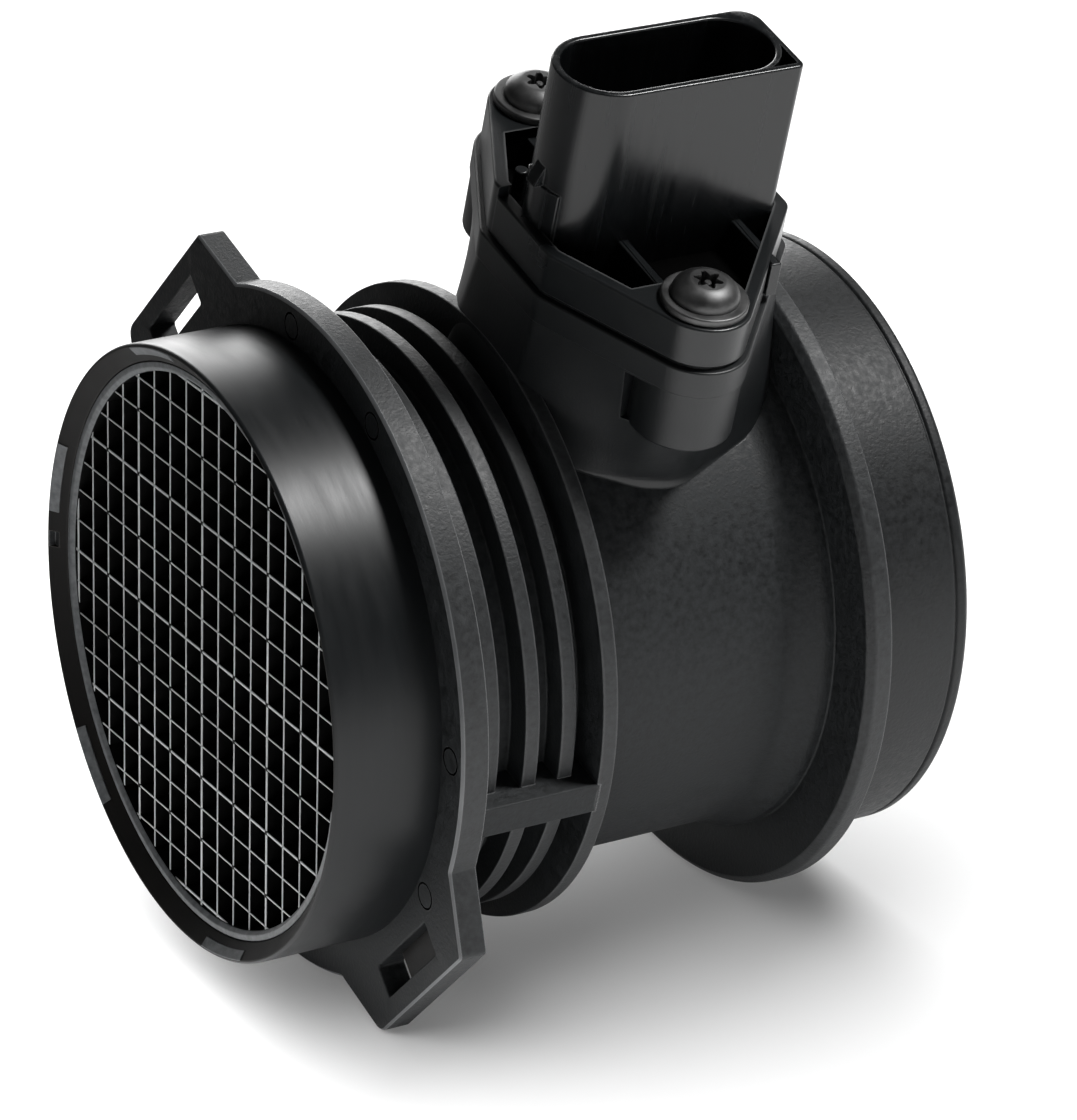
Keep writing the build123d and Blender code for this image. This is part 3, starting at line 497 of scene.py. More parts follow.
@dataclass(frozen=True)
class Palette:
    """All finishes of the sensor."""

    tube: Moulding = Moulding("moulded_black", (0.004, 0.005, 0.0055), (0.023, 0.0255, 0.0272), (0.52, 0.72),
                              scale=1900.0, patch_scale=1000.0, depth=1.0, specular=0.35)
    tower: Moulding = Moulding("tower_black", (0.006, 0.0072, 0.008), (0.0095, 0.0108, 0.0117), (0.38, 0.48),
                               depth=0.3)
    head: Moulding = Moulding("head_black", (0.006, 0.0072, 0.008), (0.0095, 0.0108, 0.0117), (0.26, 0.36),
                              depth=0.15, edge=0.9)
    # Near-black with almost no reflection: painted shade for the recess and the mark grooves.
    dark: Moulding = Moulding("painted_shade_black", (0.0005, 0.0005, 0.0005), (0.001, 0.001, 0.001), (0.7, 0.8),
                              edge=0.0, specular=0.02)
    # Its light edge colour is a painted highlight along the rims' edges.
    rims: Moulding = Moulding("grained_black", (0.0085, 0.0095, 0.0102), (0.027, 0.0294, 0.031), (0.46, 0.6),
                              scale=1900.0, patch_scale=1000.0, depth=1.0, edge=1.0,
                              edge_highlight_colour=(0.3, 0.305, 0.31))
    collar: Moulding = Moulding("satin_black", (0.006, 0.0072, 0.008), (0.0095, 0.0108, 0.0117), (0.35, 0.41),
                                Grain.ROUND_THE_AXIS, 900.0, 160.0, 0.07, edge=0.45,
                                specular=0.33)
    outlet: Moulding = Moulding("outlet_black", (0.003, 0.0036, 0.004), (0.013, 0.0148, 0.016), (0.44, 0.6),
                                scale=1900.0, patch_scale=1000.0, depth=0.8, edge=0.8, specular=0.38)
    # Light grey bevel band on black plastic: a painted highlight along the flange's front bevel.
    bevel: Moulding = Moulding("bevel_painted_highlight", (0.08, 0.084, 0.088), (0.16, 0.166, 0.17), (0.3, 0.4),
                               depth=0.2, edge=0.9, edge_highlight_colour=(0.25, 0.255, 0.26))
    lip: Moulding = Moulding("lip_black", (0.0035, 0.003, 0.0026), (0.006, 0.0052, 0.0045), (0.5, 0.62),
                             edge=0.8, edge_highlight_colour=(0.1, 0.09, 0.08), specular=0.25)
    # Rib sides near-black with little reflection: painted shade inside the cells.
    bars: Moulding = Moulding("grid_black_painted_shade", (0.002, 0.002, 0.002), (0.003, 0.003, 0.003), (0.5, 0.6),
                              edge=0.0, depth=0.15, specular=0.15)
    # Light grey rib fronts on black plastic: a painted highlight on the ribs' front faces.
    bar_front_highlight: Moulding = Moulding("grid_painted_highlight", (0.55, 0.57, 0.57), (0.8, 0.82, 0.82), (0.4, 0.5),
                                   edge=0.0, depth=0.15)
    # Lighter grey for the ring's front face and the pads: a painted highlight on the faces towards the mouth.
    grid_front_highlight: Moulding = Moulding("grid_front_highlight", (0.1, 0.106, 0.112), (0.2, 0.21, 0.216), (0.4, 0.5),
                                   patch_scale=900.0, edge=0.6, depth=0.5, edge_highlight_colour=(0.2, 0.205, 0.21))
    shroud: Moulding = Moulding("shroud_black", (0.005, 0.006, 0.0066), (0.0085, 0.0098, 0.0106), (0.18, 0.3),
                                Grain.UP_THE_TOWER, 1400.0, 260.0, 0.12, edge=0.9,
                                specular=0.42)
    inner: Moulding = Moulding("inner_black", roughness=(0.4, 0.55), depth=0.2, edge=0.3)
    rubber: Moulding = Moulding("seal_rubber", (0.02, 0.02, 0.021), (0.03, 0.03, 0.03), (0.65, 0.8), edge=0.1)
    ceramic: Moulding = Moulding("board_ceramic", (0.5, 0.5, 0.47), (0.58, 0.58, 0.55), (0.4, 0.5), edge=0.1,
                                 edge_highlight_colour=(0.62, 0.62, 0.6))
    chip: Moulding = Moulding("chip_black", (0.03, 0.03, 0.035), (0.05, 0.05, 0.06), (0.2, 0.3), depth=0.05)
    glass: Moulding = Moulding("bead_glass", (0.05, 0.09, 0.07), (0.07, 0.12, 0.09), (0.08, 0.15), depth=0.02,
                               coat=0.6)
    screw: Metal = Metal("screw_steel", (0.09, 0.09, 0.09), (0.15, 0.15, 0.15), (0.42, 0.55))
    brass: Metal = Metal("insert_brass", (0.55, 0.38, 0.15), (0.66, 0.48, 0.22))
    tin: Metal = Metal("pin_tin", (0.5, 0.5, 0.5), (0.65, 0.65, 0.64))
    plate: Metal = Metal("carrier_metal", (0.45, 0.46, 0.47), (0.58, 0.59, 0.6), (0.35, 0.5))
    gold: Metal = Metal("wire_gold", (0.8, 0.55, 0.2), (0.9, 0.66, 0.3), (0.2, 0.3))

    def build(self) -> dict[str, bpy.types.Material]:
        """Build the shared groups once, then every material under its field's name."""
        groups = {grain.name: build_grain_group(grain) for grain in Grain}
        groups["edges"] = build_edge_group()
        return {key: finish.build(groups) for key, finish in vars(type(self)).items()
                if isinstance(finish, (Moulding, Metal))}


# ---------------------------------------------------------------- measuring tube


class TubeLook(IntEnum):
    """Finish numbers of the tube's body, in the order of its materials."""

    TUBE = 0
    COLLAR = 1
    RIMS = 2
    LIP = 3
    OUTLET = 4


class FlangeLook(IntEnum):
    """Finish numbers of the inlet flange, in the order of its materials."""

    TUBE = 0
    RIMS = 1
    DARK = 2
    BEVEL = 3


@dataclass
class MeasuringTube:
    """The one-piece housing: collars, flanges, fins, webs and sensor tower."""

    finishes: dict[str, bpy.types.Material]
    segments: int = 320
    flange_points: int = 1440
    mouth_r: float = 44.0
    lip_edge: float = 0.4
    lip_depth: float = 2.0
    seat_r: float = 41.2
    seat_end_x: float = 13.6
    seat_shoulder: float = 1.4
    flange_x: float = 16.4
    flange_t: float = 4.2
    flange_r: float = 49.6
    flange_bevel: float = 0.4
    ear_bevel: float = 0.3
    flange_hole_r: float = 41.6
    step_r: float = 43.0
    step_end_x: float = 26.0
    tube_r: float = 39.1
    bore_r: float = 36.6
    throat: tuple[float, float, float] = (34.0, 80.0, 92.0)
    fin_r: float = 43.2
    fins: tuple[tuple[float, float], ...] = ((29.9, 32.2), (35.65, 37.95))
    disc: tuple[float, float, float] = (40.5, 42.9, 46.0)
    web_half: float = 2.5
    flare: tuple[float, float, float] = (76.0, 79.6, 41.0)
    rear: tuple[float, float, float] = (81.2, 84.9, 50.0)
    rear_bevel: float = 1.1
    outlet_r: float = 44.2
    outlet_bore_r: float = 41.3
    length: float = 101.8
    groove_x: float = 99.55
    groove_depth: float = 0.5
    edge: float = 0.3
    ear_turns: tuple[float, float] = (60.0, 240.0)
    ear_reach: float = 55.5
    ear_tip_half: float = 15.5
    ear_root: tuple[float, float] = (42.0, 21.8)
    ear_corners: tuple[float, float] = (2.6, 0.8)
    ear_from_r: float = 47.0
    soft_sides: tuple[int, int] = (1, -1)
    slot: tuple[float, float, float] = (49.95, 4.7, 18.0)
    slot_corner: float = 0.4
    slot_step: tuple[float, float, float] = (-4.8, 9.2, 2.2)
    mark: tuple[float, float, float] = (46.3, 2.0, 0.5)
    mark_groove: float = 0.3
    mark_turns: tuple[float, ...] = (15, 75, 105, 165, 195, 255, 285, 345)
    notch: tuple[float, float, float] = (104.0, 2.4, 1.2)

    def profile(self) -> Array:
        """Closed profile of the revolved body: outside from the mouth, back through the bore."""
        x, t, r = self.flange_x, self.tube_r, self.mouth_r
        disc_a, disc_b, disc_r = self.disc
        flare_a, flare_b, flare_r = self.flare
        rear_a, rear_b, rear_r = self.rear
        g, end = self.groove_x, self.length
        outside = [(0, r - self.lip_edge), (self.lip_edge, r), (x + 1, r), (x + 1, self.step_r),
                   (self.step_end_x, self.step_r), (self.step_end_x, t)]
        for front, back in self.fins:
            outside += [(front, t), (front, self.fin_r), (back, self.fin_r), (back, t)]
        outside += [(disc_a, t), (disc_a, disc_r), (disc_b, disc_r), (disc_b, t), (flare_a, t),
                    (flare_b, flare_r), (rear_a, flare_r), (rear_a, rear_r - self.rear_bevel),
                    (rear_a + self.rear_bevel, rear_r), (rear_b, rear_r), (rear_b, self.outlet_r),
                    (g - 0.3, self.outlet_r), (g, self.outlet_r - self.groove_depth),
                    (g + 0.3, self.outlet_r),
                    (end - 0.7, self.outlet_r), (end, self.outlet_r - 0.7), (end, self.outlet_bore_r)]
        outside = np.array(outside)
        wide = np.full(len(outside), self.edge)
        wide[[0, 1, -2, -3]] = 0.35
        wide[18:20] = 3.0
        throat_a, throat_b, wide_x = self.throat
        bore = np.vstack([[(wide_x, self.outlet_bore_r)],
                          eased(wide_x, self.outlet_bore_r, throat_b, self.bore_r)[1:],
                          eased(throat_a, self.bore_r, self.seat_end_x, self.seat_r - self.seat_shoulder),
                          [(self.seat_end_x, self.seat_r), (self.lip_depth, self.seat_r)]])
        joined = np.vstack([outside, bore])
        return rounded(joined, np.r_[wide, np.zeros(len(bore) - 2), 0.1, 0.2])

    def turned_body(self, shell: Shell) -> None:
        """Revolve the profile; each face's finish goes by the middle of its place on the profile."""
        profile = self.profile()
        angles = np.arange(self.segments) / self.segments * TURN
        rows = lathe(profile, angles)
        shell.grid(rows, wrap=True)
        middle = (profile + np.roll(profile, -1, 0)) / 2
        x, r = middle[:, 0], middle[:, 1]
        satin = (r > 43.3) & (x < self.flange_x + 0.5)
        outlet = (r > 43.3) & (x > self.rear[1] + 0.05)
        along = np.abs(profile - np.roll(profile, -1, 0))
        rims = (r > self.step_r - 0.4) & (along[:, 0] > 0.3 * along[:, 1])
        lip = (r > self.seat_r) & (r < 43.62) & (x < self.lip_depth + 0.2)
        finish = np.select([lip, satin, outlet, rims],
                           [TubeLook.LIP, TubeLook.COLLAR, TubeLook.OUTLET, TubeLook.RIMS], TubeLook.TUBE)
        shell.finishes[-1] = np.repeat(finish, self.segments)

    def ear_outline(self, soft_side: int) -> Array:
        """Loop of one ear, its axis along +u."""
        slope = math.atan2(self.ear_root[1] - self.ear_tip_half, self.ear_reach - self.ear_root[0])
        circles = []
        for side in (-1, 1):
            corner = self.ear_corners[0] if side == soft_side else self.ear_corners[1]
            inset = corner * (1 / math.cos(slope) - math.tan(slope))
            circles.append((self.ear_reach - corner, side * (self.ear_tip_half - inset), corner))
            circles.append((self.ear_root[0], side * self.ear_root[1], self.ear_corners[1]))
        return Hull(tuple(circles)).ring(0, 720)

    def flange_reach(self, angles: Array) -> Array:
        """Radius of the inlet flange's outline: the larger of its circle and its two ears."""
        reach = np.full(len(angles), self.flange_r)
        for turn, soft in zip(self.ear_turns, self.soft_sides):
            dense = resampled(self.ear_outline(soft), 8000)
            around = np.arctan2(dense[:, 1], dense[:, 0])
            far = np.linalg.norm(dense, axis=1)
            outer = far > self.ear_from_r
            order = np.argsort(around[outer])
            local = (angles - math.radians(turn) + math.pi) % TURN - math.pi
            ear = np.interp(local, around[outer][order], far[outer][order], left=0, right=0)
            reach = np.maximum(reach, ear)
        return reach

    def inlet_flange(self, shell: Shell) -> None:
        """Flange plate with its slotted ears: walls with a bevelled front edge and flat faces."""
        count = self.flange_points
        angles = np.arange(count) / count * TURN
        reach = self.flange_reach(angles)
        loop = unit(angles) * reach[:, None]
        normals = loop_normals(loop)
        bevel = np.where(reach > self.flange_r + 0.05, self.ear_bevel, self.flange_bevel)
        kernel = np.ones(9) / 9
        bevel = np.convolve(np.r_[bevel[-4:], bevel, bevel[:4]], kernel, "valid")[:, None]
        x, back, e = self.flange_x, self.flange_x + self.flange_t, self.edge
        place = Placer("x")
        offsets = [-e, -0.3 * e, 0.0, 0.0, -0.12 * bevel, -0.88 * bevel, -1.08 * bevel]
        heights = [back, back - 0.3 * e, back - e, x + 1.05 * bevel, x + 0.88 * bevel, x + 0.12 * bevel, x]
        rings = np.stack([loop + normals * o for o in offsets])
        depth = np.stack([np.broadcast_to(np.asarray(h).reshape(-1), (count,)) for h in heights])
        shell.grid(place(rings, depth), caps=False)
        # The three bevel bands take the light bevel finish: a painted highlight along the front edge.
        bands = [FlangeLook.RIMS] * 3 + [FlangeLook.BEVEL] * 3
        shell.finishes[-1] = np.repeat(bands, self.flange_points)
        inner = unit(angles[::8]) * self.flange_hole_r
        shell.grid(place(np.stack([inner, inner]), np.array([[x], [back]])), caps=False)
        walls = [rings[0], rings[-1]]
        faces = [[inner], [inner]]
        centre, width, length = self.slot
        c = self.slot_corner
        slot = Hull(tuple((centre + i * (width / 2 - c), j * (length / 2 - c), c)
                          for i in (-1, 1) for j in (-1, 1)))
        quarter = np.linspace(0, math.pi / 2, 4)
        grow = e * np.r_[1 - np.sin(quarter), 1 - np.cos(quarter)]
        depth = np.r_[x + e * (1 - np.cos(quarter)), back - e + e * np.sin(quarter)]
        for turn in self.ear_turns:
            spin = Placer("x", turn)
            ring = np.stack([slot.ring(g, 96) for g in grow])
            shell.grid(stacked(ring, depth, spin), caps=False)
            turned = spin(ring, 0.0)
            plan = np.stack([turned[..., 2], turned[..., 1]], -1)
            faces[1].append(plan[0])
            faces[0].append(plan[-1])
        shell.sheet([walls[0]] + faces[0], place, back)
        shell.sheet([walls[1]] + faces[1], place, x)

    def mouth_notch(self) -> bpy.types.Object:
        """Tool that cuts the small notch in the mouth's lip."""
        turn, width, depth = self.notch
        shell = Shell()
        low, high = self.seat_r - 1, self.mouth_r - 0.6
        block = np.array([(low, -width / 2), (high, -width / 2), (high, width / 2), (low, width / 2)])
        shell.grid(Placer("x", turn)(np.stack([block, block]), np.array([[-1.0], [depth]])),
                   finish=TubeLook.RIMS)
        return shell.tool("mouth_notch")

    def marks(self) -> list[bpy.types.Object]:
        """Round grooves that outline the ejector marks, their walls in painted shade."""
        tools = []
        centre, radius, depth = self.mark
        front, back, inner = self.flange_x - 1, self.flange_x + depth, radius - self.mark_groove
        section = np.array([(inner, front), (radius, front), (radius, back), (inner, back)])
        around = unit(np.arange(36) / 36 * TURN)
        for turn in self.mark_turns:
            shell = Shell()
            rings = np.array([centre, 0]) + around * section[:, :1, None]
            # The groove walls take the near-black finish: painted shade.
            shell.grid(Placer("x", turn)(rings, section[:, 1:]), wrap=True, finish=FlangeLook.DARK)
            tools.append(shell.tool("mark"))
        return tools

    def slot_rib(self) -> bpy.types.Object:
        """Rib set back in the lower ear's slot; the rest of the slot stays open."""
        centre, width, _ = self.slot
        low, high, depth = self.slot_step
        half = width / 2 + 0.2
        near, far = centre - half, centre + half
        block = np.array([(near, low), (far, low), (far, high), (near, high)])
        x = np.array([[self.flange_x + depth], [self.flange_x + self.flange_t - 0.4]])
        shell = Shell()
        shell.grid(Placer("x", self.ear_turns[1])(np.stack([block, block]), x))
        # Partly a real rib, partly painted shade: it reaches far enough to cover the view through the slot
        # and takes the darker lip finish.
        return shell.piece("slot_rib", [self.finishes["lip"]])

    def webs(self, shell: Shell) -> None:
        """Webs on both sides, their outer face on the stop disc's radius."""
        e = self.edge
        half, top = self.web_half, self.disc[2]
        corners = np.array([(38.5, -half), (top, -half), (top, half), (38.5, half)])
        loop = rounded(corners, [0, e, e, 0])
        bulge = np.sqrt(top ** 2 - loop[:, 1] ** 2) - top
        loop[:, 0] += np.where(loop[:, 0] > top - 1, bulge, 0)
        xs = np.array([self.flange_x + self.flange_t - 0.5, self.disc[0] + 0.5])
        for side in (90.0, 270.0):
            place = Placer("x", side)
            shell.grid(place(np.stack([loop, loop]), xs[:, None]))

    def build(self) -> bpy.types.Object:
        """Build the tube's body without its tower."""
        shell = Shell()
        self.turned_body(shell)
        self.webs(shell)
        looks = [self.finishes[look.name.lower()] for look in TubeLook]
        body = shell.piece("tube_body", looks)
        cut(body, [self.mouth_notch()])
        soften(body)
        plate = Shell()
        self.inlet_flange(plate)
        looks = [self.finishes[look.name.lower()] for look in FlangeLook]
        flange = plate.piece("inlet_flange", looks)
        cut(flange, self.marks())
        soften(flange)
        for piece in (body, flange, self.slot_rib()):
            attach(piece, "root")
            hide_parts("measuring_tube")
        return body


@dataclass
class SensorPlan:
    """Plan outline that the tower and the plug-in sensor's flange share."""

    screw: tuple[float, float] = (57.9, 23.8)
    end_r: float = 6.8
    shoulder_r: float = 2.5
    left: tuple[float, float] = (42.5, 9.8)
    right: tuple[float, float] = (82.0, 8.0)
    centre_x: float = 61.5

    def hull(self) -> Hull:
        """Six circles: two left and two right shoulders and a round end about each screw."""
        s = self.shoulder_r
        circles = []
        for side in (-1, 1):
            circles.append((self.left[0] + s, side * (self.left[1] - s), s))
            circles.append((self.right[0] - s, side * (self.right[1] - s), s))
            circles.append((self.screw[0], side * self.screw[1], self.end_r))
        return Hull(tuple(circles))

    def screws(self) -> list[tuple[float, float]]:
        """Plan places of the two screws."""
        return [(self.screw[0], side * self.screw[1]) for side in (-1, 1)]


@dataclass
class SensorTower:
    """Tower on the tube: oval foot, six-sided head with screw columns, top plate."""

    finishes: dict[str, bpy.types.Material]
    plan: SensorPlan = field(default_factory=SensorPlan)
    tube_r: float = 39.1
    foot: tuple[float, float] = (23.4, 20.9)
    foot_z: float = 30.0
    plate: tuple[float, float, float] = (54.3, 58.5, 0.8)
    wall_grow: float = 0.5
    column_bottom_z: float = 45.0
    oval: tuple[float, float, float] = (15.0, 4.0, 11.5)
    root_round: float = 0.25
    edge: float = 0.35
    pocket_turn: float = 65.5
    pocket_centre: tuple[float, float] = (51.3, 23.3)
    pocket: tuple[float, float] = (4.9, 3.6)

    def oval_hull(self) -> Hull:
        """Oval outline of the foot."""
        end_r, end_y, side_r = self.oval
        middle = self.plan.centre_x
        end_x, side_y = self.foot[0] - end_r, self.foot[1] - side_r
        places = [(middle + i * end_x, j * end_y, end_r) for i in (-1, 1) for j in (-1, 1)]
        return Hull(tuple(places + [(middle, j * side_y, side_r) for j in (-1, 1)]))

    def skin(self) -> Array:
        """Rings of the tower's wall from the plate down into the tube.

        The radius about the tower's axis goes evenly from the six-sided outline to the oval with
        w, the share of the way down; the last rows curve out onto the tube.
        """
        angles = np.arange(720) / 720 * TURN
        middle = (self.plan.centre_x, 0.0)
        head = polar_reach(self.plan.hull().ring(self.wall_grow, 720), middle, angles)
        oval = polar_reach(self.oval_hull().ring(0, 720), middle, angles)
        top_z = self.plate[0] + 0.2
        cos, sin = np.cos(angles), np.sin(angles)
        root_z = np.sqrt(self.tube_r ** 2 - (oval * sin) ** 2) + self.root_round

        def radius(z: Array) -> Array:
            """Wall radius at a height."""
            w = np.clip((top_z - z) / (top_z - self.foot_z), 0, 1)
            return head + (oval - head) * w

        w = np.linspace(0, 1, 24)[:, None]
        heights = top_z + (root_z - top_z) * w
        reach = radius(heights)
        t = np.linspace(0, 1, 7)[1:, None]
        start = reach[-1]
        end = start + self.root_round
        low = np.sqrt(self.tube_r ** 2 - np.minimum(np.abs(end * sin), self.tube_r - 0.1) ** 2)
        corner_z = np.sqrt(self.tube_r ** 2 - (start * sin) ** 2)
        curve_r = (1 - t) ** 2 * start + 2 * t * (1 - t) * start + t ** 2 * end
        curve_z = (1 - t) ** 2 * heights[-1] + 2 * t * (1 - t) * corner_z + t ** 2 * low
        share = np.linspace(1, 0, 6)[:, None]
        under_r = end * share
        across = np.minimum(np.abs(under_r * sin), self.tube_r - 1.1)
        under_z = np.sqrt((self.tube_r - 1.0) ** 2 - across ** 2)
        reach = np.vstack([reach, curve_r, under_r])
        heights = np.vstack([heights, curve_z, under_z])
        return np.stack([middle[0] + reach * cos, reach * sin, heights], -1)

    def pockets(self) -> list[bpy.types.Object]:
        """Tools that cut the recess beside each column."""
        tools = []
        for side in (-1, 1):
            turn = math.radians(side * self.pocket_turn)
            half = np.array(self.pocket) * (0.5, 1.0)
            corners = np.array([(-1, -1), (1, -1), (1, 1), (-1, 1)]) * half
            spin = np.array([[math.cos(turn), math.sin(turn)], [-math.sin(turn), math.cos(turn)]])
            loop = corners @ spin + (self.pocket_centre[0], side * self.pocket_centre[1])
            shell = Shell()
            heights = [self.column_bottom_z + 0.6, self.plate[0] - 0.4]
            shell.grid(stacked(np.stack([loop, loop]), heights, UPRIGHT))
            tools.append(shell.tool("pocket"))
        return tools

    def build(self) -> bpy.types.Object:
        """Build the tower with its columns and plate."""
        shell = Shell()
        shell.grid(self.skin())
        wall = shell.piece("tower_wall", [self.finishes["tower"]])
        cut(wall, self.pockets())
        soften(wall)
        extra = Shell()
        low, high, grow = self.plate
        rings, heights = raised_hull(self.plan.hull(), low, high, 0.25, self.edge, grow)
        extra.grid(stacked(rings, heights, UPRIGHT))
        for x, y in self.plan.screws():
            column = Hull(((x, y, self.plan.end_r),))
            rings, heights = raised_hull(column, self.column_bottom_z, low + 0.2, 0.6, 0.1, self.wall_grow)
            extra.grid(stacked(rings, heights, UPRIGHT))
        top = extra.piece("tower_top", [self.finishes["tower"]])
        for piece in (wall, top):
            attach(piece, "root")
            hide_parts("measuring_tube")
        return wall


# ---------------------------------------------------------------- flow grid


@dataclass
class FlowGrid:
    """Square-celled flow straightener with its ring and snap pads."""

    finishes: dict[str, bpy.types.Material]
    segments: int = 256
    ring_r: float = 41.1
    clear_r: float = 39.7
    front_x: float = 2.0
    cells_x: float = 2.7
    back_x: float = 13.5
    depth: float = 9.0
    pitch: float = 4.88
    rib: float = 0.25
    main_rib: float = 0.43
    main_every: int = 4
    turn: float = 15.0
    tabs: tuple[float, float, int] = (30.0, 16.0, 6)
    tab_section: tuple[tuple[float, float], ...] = ((0.0, 43.4), (0.3, 43.7), (1.4, 42.4), (1.0, 42.2))
    knot: float = 0.55

    def bars(self, shell: Shell, across: bool) -> None:
        """Ribs that run one way: a rounded section carried along each rib, all at once."""
        reach = self.clear_r + 0.5
        index = np.arange(-int(self.clear_r / self.pitch), int(self.clear_r / self.pitch) + 1)
        thick = np.where(index % self.main_every == 0, self.main_rib, self.rib)
        half_length = np.sqrt(reach ** 2 - (index * self.pitch) ** 2)
        section = np.array([(-0.5, 1.0), (-0.5, 0.012), (-0.38, 0.0), (0.38, 0.0), (0.5, 0.012), (0.5, 1.0)])
        side = index[:, None] * self.pitch + section[None, :, 0] * thick[:, None]
        deep = np.broadcast_to(self.cells_x + section[None, :, 1] * self.depth, side.shape)
        place = Placer("x", self.turn)
        for k in range(len(index)):
            run = np.array([-half_length[k], half_length[k]])[:, None]
            plan_u = side[k][None, :] + run * 0 if across else run + side[k][None, :] * 0
            plan_v = run + side[k][None, :] * 0 if across else side[k][None, :] + run * 0
            shell.grid(place(np.stack([plan_u, plan_v], -1), np.broadcast_to(deep[k], plan_u.shape)))
            # The three front faces of each rib take the light finish: a painted highlight.
            shell.finishes[-1] = np.r_[np.isin(np.arange(len(section)), (1, 2, 3)).astype(int), 0, 0]

    def knots(self, shell: Shell) -> None:
        """Small black knots where two ribs with even numbers cross: one box, repeated."""
        index = np.arange(-8, 9, 2) * self.pitch
        u, v = (a.ravel() for a in np.meshgrid(index, index))
        inside = np.hypot(u, v) < self.clear_r - 1
        centres = np.stack([u[inside], v[inside]], -1)
        half = self.knot / 2
        corner = np.array([(-half, -half), (half, -half), (half, half), (-half, half)])
        plan = centres[:, None, :] + np.vstack([corner, corner])
        depth = np.broadcast_to(self.cells_x + np.repeat([-0.06, 0.2], 4), plan.shape[:2])
        faces = np.array([(3, 2, 1, 0), (4, 5, 6, 7), (0, 1, 5, 4), (1, 2, 6, 5), (2, 3, 7, 6), (3, 0, 4, 7)])
        every = (np.arange(len(centres))[:, None, None] * 8 + faces).reshape(-1, 4)
        shell.add(Placer("x", self.turn)(plan, depth), every.tolist())

    def build(self) -> bpy.types.Object:
        """Build the grid."""
        shell = Shell()
        self.bars(shell, True)
        self.bars(shell, False)
        f, b, g = self.front_x, self.back_x, self.clear_r
        section = np.array([(f, g + 0.6), (f, self.ring_r), (b, self.ring_r), (b, g), (f + 0.5, g)])
        ring = rounded(section, 0.15)
        angles = np.arange(self.segments) / self.segments * TURN
        shell.grid(lathe(ring, angles), wrap=True)
        middle = (ring + np.roll(ring, -1, 0)) / 2
        # The ring's front face takes the lighter finish as a painted highlight; the rest of the ring takes
        # the near-black painted shade.
        front = (middle[:, 0] < f + 0.6) & (middle[:, 1] > g - 0.1)
        shell.finishes[-1] = np.repeat(np.where(front, 2, 0), self.segments)
        first, wide, count = self.tabs
        pad = rounded(np.array(self.tab_section), 0.08)
        for k in range(count):
            heading = math.radians(first + k * 360 / count)
            arc = heading + np.radians(np.linspace(-wide / 2, wide / 2, 17))
            rows = lathe(pad, arc).transpose(1, 0, 2)
            shell.grid(rows, finish=2)
        self.knots(shell)
        looks = [self.finishes[key] for key in ("bars", "bar_front_highlight", "grid_front_highlight")]
        piece = shell.piece("flow_grid_bars", looks)
        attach(piece, "root")
        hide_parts("flow_grid")
        return piece


# ---------------------------------------------------------------- plug-in sensor


